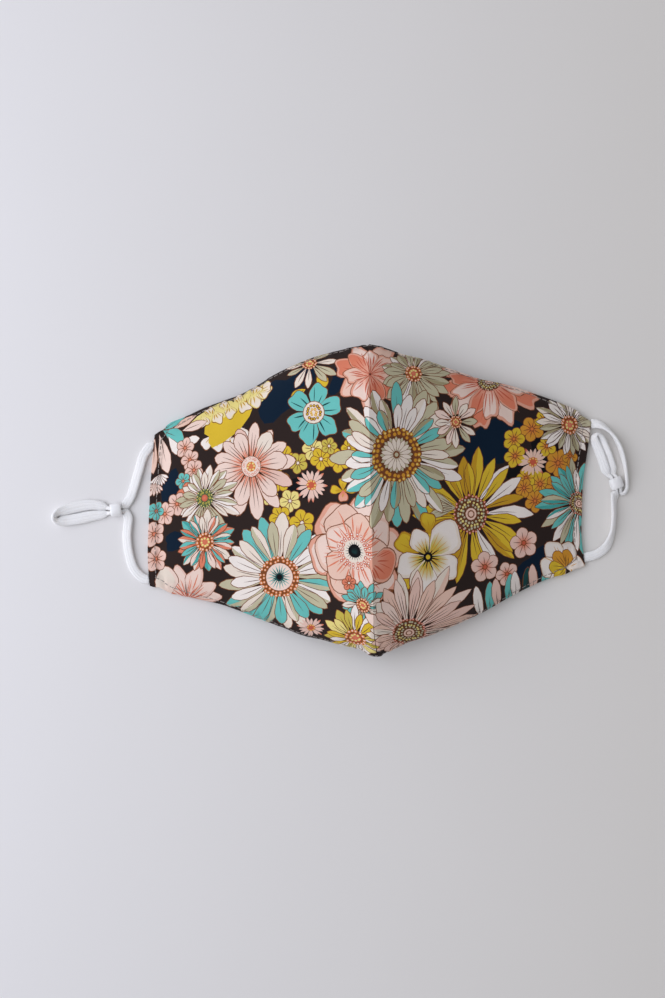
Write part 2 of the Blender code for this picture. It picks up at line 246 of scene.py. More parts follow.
def shaded(tree, colour, shade):  # an ink, or another node's colour, darkened by a shade
    colour = rgba(colour) if isinstance(colour, tuple) else colour
    return addNode(tree, "ShaderNodeMix", {"Factor": 1.0, "A": colour, "B": shade},
                   data_type="RGBA", blend_type="MULTIPLY")["Result"]


def woven(tree, group, uvMap, sizes):  # threads that follow a UV map in metres
    threads = addNode(tree, "ShaderNodeUVMap", {}, uv_map=uvMap)[0]
    return threads, addNode(tree, "ShaderNodeGroup", {"Threads": threads, **sizes}, node_tree=group)


def onObject(tree):  # the place on the object itself, in metres
    return addNode(tree, "ShaderNodeTexCoord", {})["Object"]


def paintCloth(tree):
    ink = addNode(tree, "ShaderNodeAttribute", {}, attribute_name="ink")["Color"]
    threads, cotton = woven(tree, weave, "cloth", {"Pitch": 0.00038, "Slub": 0.6})
    fade = scaled(tree, cloudiness(tree, threads, 55.0, 4.0), 0.16, 0.79)  # uneven ink
    return {
        "Base Color": shaded(tree, shaded(tree, ink, cotton["Shade"]), fade),
        "Roughness": 0.82,
        "Sheen Weight": 0.02,
        "Sheen Roughness": 0.6,
        "Specular IOR Level": 0.1,
        "Normal": bumped(tree, cotton["Height"], 0.35, 0.00008),
    }


def paintThread(tree):
    twist = cloudiness(tree, onObject(tree), 2500.0)
    return {
        "Base Color": shaded(tree, (150, 140, 134), scaled(tree, twist, 0.2, 0.85)),
        "Roughness": 0.6,
        "Normal": bumped(tree, twist, 0.3, 0.0001),
    }


def paintElastic(tree):
    knit = woven(tree, knitted, "knit", {"Across": 0.00068, "Along": 0.00075, "Fuzz": 0.7})[1]
    return {
        "Base Color": shaded(tree, (248, 247, 247), knit["Shade"]),
        "Roughness": 0.75,
        "Sheen Weight": 0.15,
        "Sheen Roughness": 0.4,
        "Subsurface Weight": 0.5,
        "Subsurface Radius": (1.0, 0.97, 0.94),
        "Subsurface Scale": 0.002,
        "Normal": bumped(tree, knit["Height"], 0.7, 0.00012),
    }


def paintSilicone(tree):
    cloudy = cloudiness(tree, onObject(tree), 700.0, 3.0)
    return {
        "Base Color": shaded(tree, (245, 244, 245), scaled(tree, cloudy, 0.08, 0.94)),
        "Roughness": scaled(tree, cloudy, 0.2, 0.3),
        "Subsurface Weight": 0.6,
        "Subsurface Radius": (1.0, 0.97, 0.95),
        "Subsurface Scale": 0.003,
        "Coat Weight": 0.1,
        "Normal": bumped(tree, cloudy, 0.1, 0.0002),
    }


printedCloth = addMaterial("printedCloth", paintCloth)
seamThread = addMaterial("seamThread", paintThread)
whiteElastic = addMaterial("whiteElastic", paintElastic)
whiteSilicone = addMaterial("whiteSilicone", paintSilicone)


# Floor and light

stage = {
    "floorSize": 9.0,
    # the table is painted lighter on the left and darker on the right: painted light falloff from
    # the window side
    "floorPaintedLightLeft": (239, 238, 240),
    "floorPaintedShadeRight": (216, 212, 205),
    "floorPaintedFalloff": 0.3,  # metres from the middle over which the table's painted light falloff runs, from painted light on the left to painted shade on the right
    "skyInk": (250, 250, 254),
    "skyLow": 0.38,
    "skyHigh": 1.05,
    "skyFade": 1.4,
    "skyWay": (-0.97, 0.10, 0.17),  # the side from which the room is bright
    "keyPlace": (-0.60, 0.10, 0.52),
    "keySize": 0.9,
    "keyPower": 3.3,
    "keyInk": (233, 237, 252),
}


def paintFloor(tree):
    place, fade = onObject(tree), stage["floorPaintedFalloff"]
    across = addNode(tree, "ShaderNodeSeparateXYZ", {0: place})["X"]
    values = {"Value": across, "From Min": -fade, "From Max": fade}
    share = addNode(tree, "ShaderNodeMapRange", values)[0]
    # painted light falloff: the table's colour goes from lighter on the left to darker on the right
    values = {"Factor": share, "A": rgba(stage["floorPaintedLightLeft"]), "B": rgba(stage["floorPaintedShadeRight"])}
    tone = addNode(tree, "ShaderNodeMix", values, data_type="RGBA")["Result"]
    mottle = scaled(tree, cloudiness(tree, place, 12.0), 0.02, 0.98)
    return {"Base Color": shaded(tree, tone, mottle), "Roughness": 0.7}


def addFloor():
    bpy.ops.mesh.primitive_plane_add(size=stage["floorSize"])
    floor = bpy.context.active_object
    floor.name = "floor"
    floor.data.materials.append(addMaterial("paleTablePaintedFalloff", paintFloor))


def addSky():  # a soft room, brighter on the side of its window
    world = bpy.data.worlds.new("studio")
    world.use_nodes = True
    tree = world.node_tree
    way = addNode(tree, "ShaderNodeTexCoord", {})["Generated"]
    values = {0: way, 1: Vector(stage["skyWay"]).normalized()}
    toWindow = addNode(tree, "ShaderNodeVectorMath", values, operation="DOT_PRODUCT")["Value"]
    bright = mathNode(tree, "POWER", mathNode(tree, "MAXIMUM", toWindow, 0.0), stage["skyFade"])
    strength = scaled(tree, bright, stage["skyHigh"], stage["skyLow"])
    fill(tree, tree.nodes["Background"], {"Color": rgba(stage["skyInk"]), "Strength": strength})
    bpy.context.scene.world = world


def addKeyLight():
    data = bpy.data.lights.new("keyLight", "AREA")
    data.shape = "DISK"
    data.size = stage["keySize"]
    data.energy = stage["keyPower"]
    data.color = tuple(inkToLinear(stage["keyInk"]))
    key = linked("keyLight", data)
    key.location = stage["keyPlace"]
    key.rotation_euler = (-Vector(stage["keyPlace"])).to_track_quat("-Z", "Y").to_euler()
    bpy.context.scene.view_settings.view_transform = "Standard"


addFloor()
addSky()
addKeyLight()
print("floor and light set")


def meshFrom(name, places, faces, material):
    mesh = bpy.data.meshes.new(name)
    mesh.from_pydata([tuple(p) for p in places], [], [tuple(f) for f in faces])
    mesh.materials.append(material)
    mesh.shade_smooth()
    shell = bmesh.new()  # so that every face looks outward
    shell.from_mesh(mesh)
    bmesh.ops.recalc_face_normals(shell, faces=shell.faces)
    shell.to_mesh(mesh)
    shell.free()
    return linked(name, mesh)


# Form of the cloth: one row for each section across, from the crease outward.
# out: share of the way to the side hem; top, bottom: edges as shares of the reach to nose and chin;
# crown: height between them as a share of the ridge; topRise, bottomRise: heights of the edges.

cloth = {
    "halfWidth": 0.1116,
    "noseReach": 0.0757,
    "chinReach": 0.0755,
    "ridge": 0.042,
    "noseRise": 0.021,
    "chinRise": 0.013,
    "noseFullness": 4.0,
    "chinFullness": 2.6,
    "wall": 0.0016,
    "fold": 0.0024,
    "sideHem": 0.0046,
    "rimHem": 0.005,
    "edgeRound": 0.0010,
    "hemStep": 0.0012,
    "hemPast": 0.0008,  # how far past the rim's hem the cloth stays thick, and then thins
    "hemThins": 0.0012,
    "rimSlant": 0.92,  # the straight way to the rim, as a share of the way along b
    "creaseReach": 0.034,  # how far out the wandering of the crease is felt
    "columns": 190,
    "hemColumns": 9,
    "rows": 221,
    "clear": 0.00004,  # between the cloth and the table
}

sectionColumns = ("out", "top", "bottom", "crown", "topRise", "bottomRise")
leftSections = [
    (0.000, 1.000, 1.000, 1.000, 1.00, 1.00),
    (0.025, 0.998, 0.985, 0.972, 0.99, 0.99),
    (0.065, 0.992, 0.946, 0.925, 0.96, 0.95),
    (0.150, 0.970, 0.917, 0.835, 0.87, 0.84),
    (0.240, 0.946, 0.879, 0.745, 0.73, 0.69),
    (0.330, 0.906, 0.848, 0.660, 0.58, 0.55),
    (0.420, 0.856, 0.795, 0.580, 0.44, 0.42),
    (0.510, 0.790, 0.747, 0.502, 0.33, 0.31),
    (0.600, 0.738, 0.691, 0.426, 0.24, 0.21),
    (0.690, 0.705, 0.641, 0.350, 0.16, 0.14),
    (0.780, 0.668, 0.604, 0.272, 0.10, 0.08),
    (0.870, 0.622, 0.574, 0.190, 0.05, 0.04),
    (0.940, 0.592, 0.552, 0.110, 0.02, 0.01),
    (1.000, 0.566, 0.534, 0.000, 0.00, 0.00),
]
rightSections = [
    (0.000, 1.000, 1.000, 1.000, 1.00, 1.00),
    (0.025, 0.999, 0.982, 0.972, 0.99, 0.99),
    (0.065, 0.985, 0.962, 0.925, 0.96, 0.95),
    (0.150, 0.942, 0.915, 0.835, 0.86, 0.84),
    (0.240, 0.912, 0.888, 0.742, 0.71, 0.69),
    (0.330, 0.870, 0.848, 0.655, 0.56, 0.55),
    (0.420, 0.826, 0.802, 0.572, 0.43, 0.42),
    (0.510, 0.780, 0.752, 0.494, 0.32, 0.31),
    (0.600, 0.750, 0.692, 0.420, 0.24, 0.21),
    (0.690, 0.716, 0.636, 0.346, 0.16, 0.14),
    (0.780, 0.670, 0.588, 0.270, 0.10, 0.08),
    (0.870, 0.620, 0.548, 0.190, 0.05, 0.04),
    (0.940, 0.578, 0.533, 0.110, 0.02, 0.01),
    (1.000, 0.540, 0.528, 0.000, 0.00, 0.00),
]
# how the crease wanders sideways, and how much the corners of each side hem are cut back, in mm
creaseWay = [(-76, 0.3), (-68, -0.9), (-59, -1.9), (-46, -1.8), (-22, -1.4), (6, -0.9), (36, -0.2),
             (60, 0.6), (76, 1.4)]
cornerCut = {-1: (2.4, 0.6), 1: (3.0, 0.9)}
# along from the chin side's corner to the nose side's, then how far out each side hem stands
sideEdges = [
    (-1.0, 0.997, 0.945),
    (-0.6, 1.000, 0.934),
    (-0.2, 0.990, 0.941),
    (0.2, 0.979, 0.952),
    (0.6, 0.963, 0.978),
    (1.0, 0.946, 1.000),
]
# side, out, along, wide, tall, depth of each shallow dent
dents = [
    (-1, 0.30, 0.62, 0.16, 0.09, 0.022),
    (-1, 0.62, -0.45, 0.12, 0.14, 0.018),
    (-1, 0.55, 0.20, 0.18, 0.16, -0.016),
    (1, 0.26, 0.66, 0.12, 0.10, 0.024),
    (1, 0.58, -0.30, 0.16, 0.16, 0.020),
    (1, 0.78, 0.40, 0.12, 0.14, -0.016),
    (1, 0.30, -0.60, 0.14, 0.10, -0.018),
]


def buildSide(side):  # the cloth's two faces on one side of the crease, as grids of points
    rows = np.array(leftSections if side < 0 else rightSections)
    table = dict(zip(sectionColumns, rows.T))
    outs = np.concatenate([np.linspace(0, 1, cloth["columns"]), np.ones(cloth["hemColumns"])])
    hems = np.linspace(0, 1, cloth["hemColumns"] + 1)[1:]
    hems = np.concatenate([np.zeros(cloth["columns"]), hems])
    along = np.sin(np.linspace(-1, 1, cloth["rows"]) * math.pi / 2)
    out, al = np.meshgrid(outs, along, indexing="ij")
    read = {key: smoothTable(table["out"], table[key], out) for key in sectionColumns[1:]}
    edges = np.array(sideEdges)
    share = smoothTable(edges[:, 0], edges[:, 1 if side < 0 else 2], al)
    half = cloth["halfWidth"]
    x = (half - cloth["sideHem"]) * out - half * (1 - share) * out**2
    x = side * (x + cloth["sideHem"] * hems[:, None])
    middle = (cloth["chinReach"] - cloth["noseReach"]) / 2
    cut = hems[:, None] ** 1.3 * mm
    nose = cloth["noseReach"] * read["top"] - cloth["fold"] - cornerCut[side][0] * cut
    chin = cloth["fold"] - cloth["chinReach"] * read["bottom"] + cornerCut[side][1] * cut
    y = middle + chin + (nose - chin) * (al + 1) / 2
    way = np.array(creaseWay) * mm
    x += smoothTable(way[:, 0], way[:, 1], y) * np.exp(-((x / cloth["creaseReach"]) ** 2))
    crown = (cloth["ridge"] - cloth["wall"]) * read["crown"]
    edge = np.where(
        al > 0, cloth["noseRise"] * read["topRise"], cloth["chinRise"] * read["bottomRise"]
    )
    fullness = np.where(al > 0, cloth["noseFullness"], cloth["chinFullness"])
    bulge = np.sqrt(np.maximum(1 - np.abs(al) ** fullness, 0))
    sink = np.zeros_like(out)
    for where, dentOut, dentAlong, wide, tall, depth in dents:
        if where == side:
            across = ((out - dentOut) / wide) ** 2
            up = ((al - dentAlong) / (2 * tall)) ** 2
            sink += cloth["ridge"] * depth * np.exp(-across - up)
    z = np.maximum(edge + (crown - edge) * bulge - sink * bulge, 0)
    z[cloth["columns"] - 1 :] = 0
    z = np.hypot(z, cloth["hemStep"] * (1 - hems[:, None]))
    under = np.stack([x, y, z], axis=-1)
    normal = side * unit(np.cross(np.gradient(under, axis=0), np.gradient(under, axis=1)))
    steps = np.linalg.norm(np.diff(under, axis=1), axis=-1)
    run = np.concatenate([np.zeros((len(outs), 1)), np.cumsum(steps, axis=1)], axis=1)
    fromRim = np.minimum(run, run[:, -1:] - run)
    hemmed = smoothStep((cloth["rimHem"] + cloth["hemPast"] - fromRim) / cloth["hemThins"])
    hemmed = np.maximum(hemmed, (out >= 1) * 1.0)
    thick = cloth["wall"] + (cloth["fold"] - cloth["wall"]) * hemmed
    return {"under": under, "normal": normal, "thick": thick}


def joinSides():  # both sides meet in one line along the crease
    forms = {side: buildSide(side) for side in (-1, 1)}
    both = unit(forms[-1]["normal"][0] + forms[1]["normal"][0])
    for side, form in forms.items():
        form["over"] = form["under"] + form["normal"] * form["thick"][..., None]
        reach = form["thick"][0] / np.sum(both * form["normal"][0], axis=-1)
        form["over"][0] = form["under"][0] + both * reach[:, None]
    line = (forms[-1]["over"][0] + forms[1]["over"][0]) / 2
    for side, form in forms.items():
        form["over"][0] = line
        over = form["over"]
        middle = cloth["rows"] // 2
        across = np.linalg.norm(np.diff(over[:, middle], axis=0), axis=-1)
        form["a"] = np.concatenate([[0], np.cumsum(across)]) / mm
        up = np.linalg.norm(np.diff(over, axis=1), axis=-1)
        run = np.concatenate([np.zeros((len(over), 1)), np.cumsum(up, axis=1)], axis=1) / mm
        form["b"] = run - run[:, middle : middle + 1]
    return forms


forms = joinSides()
clothHalf = min(forms[-1]["a"][-1], forms[1]["a"][-1])
print("cloth form ready, half width laid flat", round(float(clothHalf), 1), "mm")


# The cloth's own measure: a runs across from the crease and b up from the middle, in mm of cloth

def onCloth(a, b, side, layer="over"):  # places on the cloth and the ways that it faces
    form = forms[side]
    column = np.interp(np.abs(a), form["a"], np.arange(len(form["a"])))
    low = np.clip(column.astype(int), 0, len(form["a"]) - 2)
    share = column - low
    count = np.arange(form["b"].shape[1])
    row = np.empty_like(b)
    for index in np.unique(low):
        here = low == index
        first = np.interp(b[here], form["b"][index], count)
        second = np.interp(b[here], form["b"][index + 1], count)
        row[here] = first + (second - first) * share[here]
    under = np.clip(row.astype(int), 0, len(count) - 2)
    up = (row - under)[:, None]
    share = share[:, None]

    def blend(grid):
        lower = grid[low, under] * (1 - share) + grid[low + 1, under] * share
        upper = grid[low, under + 1] * (1 - share) + grid[low + 1, under + 1] * share
        return lower * (1 - up) + upper * up

    return blend(form[layer]), unit(blend(form["normal"]))


def sideOf(a):
    return np.where(a < 0, -1, 1)


def onBothSides(ab, sides, layer="over"):
    place, normal = np.empty((len(ab), 3)), np.empty((len(ab), 3))
    for side in forms:
        here = sides == side
        place[here], normal[here] = onCloth(ab[here, 0], ab[here, 1], side, layer)
    return place, normal


def edgesAt(a):  # the lower and upper edge of the cloth at a
    low, high = np.empty_like(a), np.empty_like(a)
    for side, form in forms.items():
        here = sideOf(a) == side
        low[here] = np.interp(np.abs(a[here]), form["a"], form["b"][:, 0])
        high[here] = np.interp(np.abs(a[here]), form["a"], form["b"][:, -1])
    return low, high


def edgeDistance(a, b):  # distances to the rim and to the side hem's edge
    low, high = edgesAt(a)
    rim = np.minimum(b - low, high - b) * cloth["rimSlant"]
    limit = np.where(a < 0, forms[-1]["a"][-1], forms[1]["a"][-1])
    return rim, limit - np.abs(a)


gridSpots = {}
for side, form in forms.items():
    spread = np.repeat(form["a"][:, None] * side, form["b"].shape[1], axis=1)
    gridSpots[side] = (toTable(form["over"]) / mm, spread, form["b"], form["over"][..., 2])


def clothSpot(px, py):  # the spot of the cloth that shows at a pixel, and mm of cloth to a pixel
    target = np.array(onTable(px, py)) / mm
    best = None
    for seen, a, b, z in gridSpots.values():
        gap = seen - target
        distance = (gap**2).sum(axis=-1)
        at = np.unravel_index(np.argmin(distance), distance.shape)
        if best is None or distance[at] < best[0]:
            best = (distance[at], a[at] - gap[at][0], b[at] - gap[at][1], z[at])
    rise = 1 - best[3] / photo["cameraHeight"]
    return np.array(best[1:3]), photo["metresPerPixel"] / mm * rise / photo["clothTilt"]


# The print: flowers drawn one over another, each petal an outline in brown under a fill

inks = {
    "ground": (47, 35, 32),
    "line": (132, 76, 44),
    "vein": (96, 56, 42),
    "turquoise": (112, 200, 192),
    "turquoiseDeep": (74, 172, 166),
    "khaki": (204, 196, 164),
    "khakiDeep": (176, 164, 128),
    "cream": (245, 230, 214),
    "white": (252, 242, 234),
    "shell": (250, 222, 208),
    "peach": (245, 206, 187),
    "peachDeep": (238, 172, 148),
    "coral": (230, 134, 104),
    "coralDeep": (208, 98, 72),
    "mustard": (228, 192, 54),
    "mustardDeep": (206, 158, 42),
    "ochre": (222, 156, 54),
    "paleYellow": (244, 226, 140),
    "olive": (212, 192, 84),
    "navy": (6, 30, 50),
    "teal": (28, 76, 76),
    "orange": (224, 128, 62),
    "brown": (112, 68, 42),
    "green": (88, 104, 66),
    "pink": (243, 205, 190),
    "black": (16, 16, 20),
    "lining": (236, 230, 222),
}
printInk = {name: inkToLinear(rgb) for name, rgb in inks.items()}
rng = np.random.default_rng(7)
shapes = []  # in the order in which they are laid, the lowest first


def lay(points, ink, deep=None, centre=None, near=0.0, far=1.0):
    shapes.append(
        {
            "points": np.asarray(points),
            "ink": printInk[ink],
            "deep": printInk[deep or ink],
            "centre": np.zeros(2) if centre is None else np.asarray(centre),
            "near": near,
            "far": far,
        }
    )


def turned(points, angle, centre):
    c, s = math.cos(angle), math.sin(angle)
    return np.asarray(points) @ np.array([[c, s], [-s, c]]) + centre


def disc(centre, radius, ink, sides=10, deep=None):
    turns = (np.arange(sides) + rng.random()) * 2 * math.pi / sides
    points = np.stack([np.cos(turns), np.sin(turns)], axis=1) * radius + centre
    lay(points, ink, deep, centre, 0.0, radius)


petalForms = {  # where the petal is widest, and how full it is there
    "round": (1.35, 0.62),
    "blunt": (1.75, 0.62),
    "tipped": (1.55, 0.85),
    "pointed": (1.15, 0.95),
}


def petalPoints(start, length, width, form, bend=0.0, low=-1.0, high=1.0, steps=7):
    bias, full = petalForms[form]
    t = (1 - np.cos(np.linspace(0, math.pi, steps + 1))) / 2
    half = width / 2 * np.sin(math.pi * t**bias).clip(0) ** full
    middle = bend * length * t**2
    upper = np.stack([start + length * t, middle + half * high], axis=1)
    lower = np.stack([start + length * t, middle + half * low], axis=1)[-2:0:-1]
    return np.concatenate([upper, lower])


# A petal's outline, its fill, a band of a second colour along one side, and its veins
def petal(centre, angle, start, length, width, ink, form="blunt", tone=None, bend=0.0, veins=1,
          line=0.42, lineInk="line", glow=None):
    outline = petalPoints(start, length, width, form, bend)
    lay(turned(outline, angle, centre), lineInk)
    size = (start + line, length - 2 * line, max(width - 2 * line, 0.3), form, bend)
    far = start + length * 0.6
    lay(turned(petalPoints(*size), angle, centre), glow or ink, ink, centre, start, far)
    if tone:
        low, high = (0.15, 1.0) if rng.random() < 0.5 else (-1.0, -0.15)
        lay(turned(petalPoints(*size, low, high, 5), angle, centre), tone)
    for vein in range(veins):
        at = (vein - (veins - 1) / 2) * width * 0.27
        reach = length * rng.uniform(0.48, 0.66)
        stroke(centre, angle, start + length * 0.14, reach, at, bend, 0.36,
               "vein" if lineInk == "line" else lineInk)


def stroke(centre, angle, start, length, aside, bend, width, ink):  # a thin line along a petal
    t = np.linspace(0, 1, 4)
    middle = aside * (0.6 + 0.4 * t) + bend * (start + length * t) * t * 0.6
    half = width / 2 * np.array([0.5, 1.0, 0.8, 0.1])
    x = start + length * t
    upper, lower = np.stack([x, middle + half], 1), np.stack([x, middle - half], 1)
    outline = np.concatenate([upper, lower[::-1]])
    lay(turned(outline, angle, centre), ink)


def dotRing(centre, radius, count, size, ink, inner=None, wander=0.12):
    for index in range(count):
        angle = 2 * math.pi * (index + rng.uniform(-0.2, 0.2)) / count
        reach = radius * (1 + rng.uniform(-wander, wander))
        spot = centre + reach * np.array([math.cos(angle), math.sin(angle)])
        disc(spot, size * rng.uniform(0.9, 1.12), ink, 7)
        if inner:
            disc(spot, size * 0.56, inner, 5)


def rays(centre, near, far, count, width, ink, wander=0.25):  # short lines round a flower's heart
    for index in range(count):
        angle = 2 * math.pi * (index + rng.uniform(-wander, wander)) / count
        length = (far - near) * rng.uniform(1 - wander, 1 + wander)
        stroke(centre, angle, near, length, 0, 0, width, ink)


# The parts of each heart, the lowest first, in shares of its radius. disc: size, ink, sides, ink at
# the rim. dots: reach, count, size, ink, inner ink, wander. rays: near, far, count, width, ink,
# wander. petals: the ink of each layer.
hearts = {
    "rosette": [
        ("disc", 1, "line", 28),
        ("dots", 0.95, 30, 0.095, "line", "ochre", 0.04),
        ("dots", 0.95, 30, 0.068, "ochre", "paleYellow", 0.04),
        ("dots", 0.79, 26, 0.07, "ochre", None, 0.04),
        ("disc", 0.7, "brown", 24),
        ("petals", "khaki", "cream"),
        ("disc", 0.12, "line", 10),
        ("disc", 0.08, "khaki", 8),
    ],
    "ringed": [
        ("disc", 1.02, "line", 22),
        ("dots", 0.97, 28, 0.085, "orange", "shell", 0.04),
        ("dots", 0.79, 24, 0.075, "orange", "peach", 0.05),
        ("disc", 0.69, "cream", 20, "shell"),
        ("rays", 0.22, 0.62, 20, 0.42, "turquoiseDeep", 0.1),
        ("rays", 0.12, 0.42, 17, 0.5, "teal", 0.15),
        ("disc", 0.22, "teal", 11),
        ("disc", 0.15, "black", 9),
    ],
    "eye": [
        ("disc", 0.72, "cream", 18),
        ("rays", 0.4, 0.98, 24, 0.42, "cream", 0.15),
        ("dots", 1.02, 22, 0.105, "coralDeep", "white", 0.08),
        ("dots", 0.8, 19, 0.1, "coralDeep", "white", 0.08),
        ("rays", 0.34, 0.6, 20, 0.3, "teal", 0.1),
        ("disc", 0.42, "black", 16),
        ("disc", 0.25, "teal", 10, "black"),
    ],
    "speckled": [
        ("disc", 1, "brown", 22),
        ("dots", 0.97, 30, 0.075, "coralDeep", "peach", 0.06),
        ("dots", 0.8, 25, 0.066, "khaki", None, 0.07),
        ("dots", 0.63, 20, 0.066, "paleYellow", None, 0.07),
        ("dots", 0.47, 14, 0.066, "khaki", None, 0.07),
        ("disc", 0.33, "peach", 11),
        ("disc", 0.22, "line", 9),
        ("disc", 0.15, "peach", 8),
    ],
    "dotted": [
        ("disc", 1, "line", 14),
        ("dots", 0.88, 14, 0.18, "orange", "shell", 0.06),
        ("disc", 0.62, "coral", 12, "coralDeep"),
        ("dots", 0.42, 8, 0.13, "paleYellow", None, 0.1),
    ],
    "green": [
        ("disc", 1, "green", 14),
        ("dots", 0.9, 15, 0.14, "green", "paleYellow", 0.05),
        ("dots", 0.62, 10, 0.13, "olive", "green", 0.06),
        ("disc", 0.38, "coral", 9, "coralDeep"),
    ],
    "golden": [
        ("disc", 1.35, "line", 15),
        ("disc", 1.26, "cream", 15),
        ("dots", 0.8, 13, 0.2, "line", "mustard", 0.06),
        ("dots", 0.36, 6, 0.18, "ochre", "paleYellow", 0.1),
    ],
    "rosy": [
        ("disc", 1.06, "line", 16),
        ("disc", 1, "cream", 16, "shell"),
        ("dots", 0.8, 14, 0.13, "coral", "white", 0.08),
        ("disc", 0.5, "coral", 10, "orange"),
        ("dots", 0.34, 7, 0.1, "paleYellow", None, 0.1),
    ],
    "pansy": [
        ("rays", 0.2, 1.5, 15, 0.6, "black", 0.35),
        ("disc", 0.62, "black", 11),
        ("disc", 0.3, "mustard", 8),
    ],
}


def heart(centre, radius, kind):  # a kind of heart, or the ink of a plain one
    for part, *row in hearts.get(kind, [("disc", 1, "line", 9), ("disc", 0.7, kind, 8)]):
        if part == "disc":
            disc(centre, radius * row[0], *row[1:])
        elif part == "dots":
            dotRing(centre, radius * row[0], row[1], radius * row[2], *row[3:])
        elif part == "rays":
            rays(centre, radius * row[0], radius * row[1], *row[2:])
        else:
            for layer, ink in enumerate(row):
                for index in range(16):
                    angle = 2 * math.pi * (index + layer * 0.5) / 16
                    petal(centre, angle, radius * 0.1, radius * (0.6 - 0.06 * layer),
                          radius * 0.2, ink, "tipped", None, 0, 0, 0.2)


# longer: the way in which the petals are longer, in degrees, and by what share
def daisy(px, py, size, petals, colours, kind, heartSize, form="tipped", layers=2, width=1.0,
          veins=1, longer=(0, 0.0), tones=(None,), lineInk="line", glow=None, bend=0.08):
    centre, scale = clothSpot(px, py)
    radius, heartRadius = size * scale, heartSize * scale
    start = heartRadius * 0.7
    for layer in range(layers):
        reach = radius * (1 - 0.12 * layer)
        for index in range(petals):
            angle = 2 * math.pi * (index + 0.5 * layer + rng.uniform(-0.16, 0.16)) / petals
            far = 1 + longer[1] * math.cos(angle - math.radians(longer[0]))
            length = (reach * far - start) * rng.uniform(0.86, 1.07)
            broad = 2 * math.pi * reach * 0.62 / petals * width * rng.uniform(0.86, 1.1)
            ink = colours[int(rng.integers(len(colours)))]
            tone = tones[int(rng.integers(len(tones)))]
            petal(centre, angle, start, length, broad, ink, form, tone if tone != ink else None,
                  rng.uniform(-bend, bend), veins, 0.4, lineInk, glow)
    heart(centre, heartRadius, kind)


def lobe(centre, angle, half, radius, ink, tint, lines, lineInk="coral", ruffle=0.04):
    phi = np.linspace(-1, 1, 15)
    wave = 1 + ruffle * np.sin(phi * rng.uniform(5, 8) + rng.uniform(0, 6))
    edge = radius * np.cos(phi * math.pi / 2).clip(0.001) ** 0.3 * wave
    lean = rng.uniform(-0.12, 0.12)
    layers = ((0.0, "line", 1.0), (0.42, tint, 0.97), (radius * 0.07, ink, 0.86))
    for inset, paint, narrow in layers:
        reach = np.maximum(edge - inset, 0.1)
        turnBy = phi * half * narrow + (lean * half if narrow < 0.9 else 0)
        outline = np.stack([np.cos(turnBy) * reach, np.sin(turnBy) * reach], axis=1)
        outline = turned(outline, angle, centre)
        if narrow < 0.9:
            lay(outline, tint, ink, centre, radius * 0.15, radius * 0.7)
        else:
            lay(outline, paint)
    for index in range(lines):
        aside = half * 0.8 * (2 * (index + 0.5) / lines - 1) + rng.uniform(-0.06, 0.06)
        near = radius * rng.uniform(0.22, 0.4)
        stroke(centre, angle + aside, near, radius * rng.uniform(0.3, 0.55), 0,
               rng.uniform(-0.2, 0.2), rng.uniform(0.35, 0.8), lineInk)


def bloom(px, py, size, petals, colours, tint, lines=3, lineInk="coral", turn=0.0, layers=2,
          overlap=1.35, shrink=0.2, ruffle=0.04):
    centre, scale = clothSpot(px, py)
    radius = size * scale
    for layer in range(layers):
        reach = radius * (1 - shrink * layer)
        for index in range(petals):
            angle = 2 * math.pi * (index + 0.5 * layer) / petals + math.radians(turn)
            angle += rng.uniform(-0.08, 0.08)
            ink = colours[(index + layer) % len(colours)]
            lobe(centre, angle, math.pi / petals * overlap, reach * rng.uniform(0.92, 1.04), ink,
                 tint, lines, lineInk, ruffle)


def blossom(px, py, size, ink, kind="cream", tint=None):  # a small flower of five petals
    centre, scale = clothSpot(px, py)
    radius = size * scale
    first = rng.uniform(0, 6)
    for index in range(5):
        petal(centre, first + 2 * math.pi * index / 5, radius * 0.08, radius * 0.92,
              radius * 4.4 / 5, ink, "round", None, 0, 1, 0.34, "line", tint)
    heart(centre, radius * 0.19, kind)


def star(px, py, size, ink, deep="coral"):
    centre, scale = clothSpot(px, py)
    radius = size * scale
    for index in range(17):
        angle = 2 * math.pi * (index + rng.uniform(-0.2, 0.2)) / 17
        length = radius * rng.uniform(0.8, 1.06)
        outline = petalPoints(radius * 0.1, length, radius * 0.24, "tipped", 0, steps=5)
        lay(turned(outline, angle, centre), ink, deep, centre, radius, radius * 0.3)
    disc(centre, radius * 0.34, "coralDeep", 10)
    dotRing(centre, radius * 0.28, 8, radius * 0.1, "orange", "paleYellow")


def leaf(px, py, length, width, turn, ink, form="blunt", veins=0):
    centre, scale = clothSpot(px, py)
    petal(centre, math.radians(turn), 0.0, length * scale, width * scale, ink, form, None, 0.0,
          veins, 0.34)


def blob(px, py, size, tall, turn, ink):
    centre, scale = clothSpot(px, py)
    turns = np.linspace(0, 2 * math.pi, 17)[:-1]
    wave = 1 + 0.16 * np.sin(turns * 3 + rng.uniform(0, 6)) + 0.08 * np.sin(turns * 5 + 1)
    outline = np.stack([np.cos(turns) * wave, np.sin(turns) * wave * tall], axis=1)
    lay(turned(outline * size * scale, math.radians(turn), centre), ink)


def heartAt(px, py, size, kind):
    centre, scale = clothSpot(px, py)
    heart(centre, size * scale, kind)


def lobeAt(px, py, size, turn, ink, tint, half=0.8, lines=2, lineInk="mustardDeep", ruffle=0.05):
    centre, scale = clothSpot(px, py)
    lobe(centre, math.radians(turn), half, size * scale, ink, tint, lines, lineInk, ruffle)


def raysAt(px, py, near, far, count, width, ink):
    centre, scale = clothSpot(px, py)
    rays(centre, near * scale, far * scale, count, width, ink)


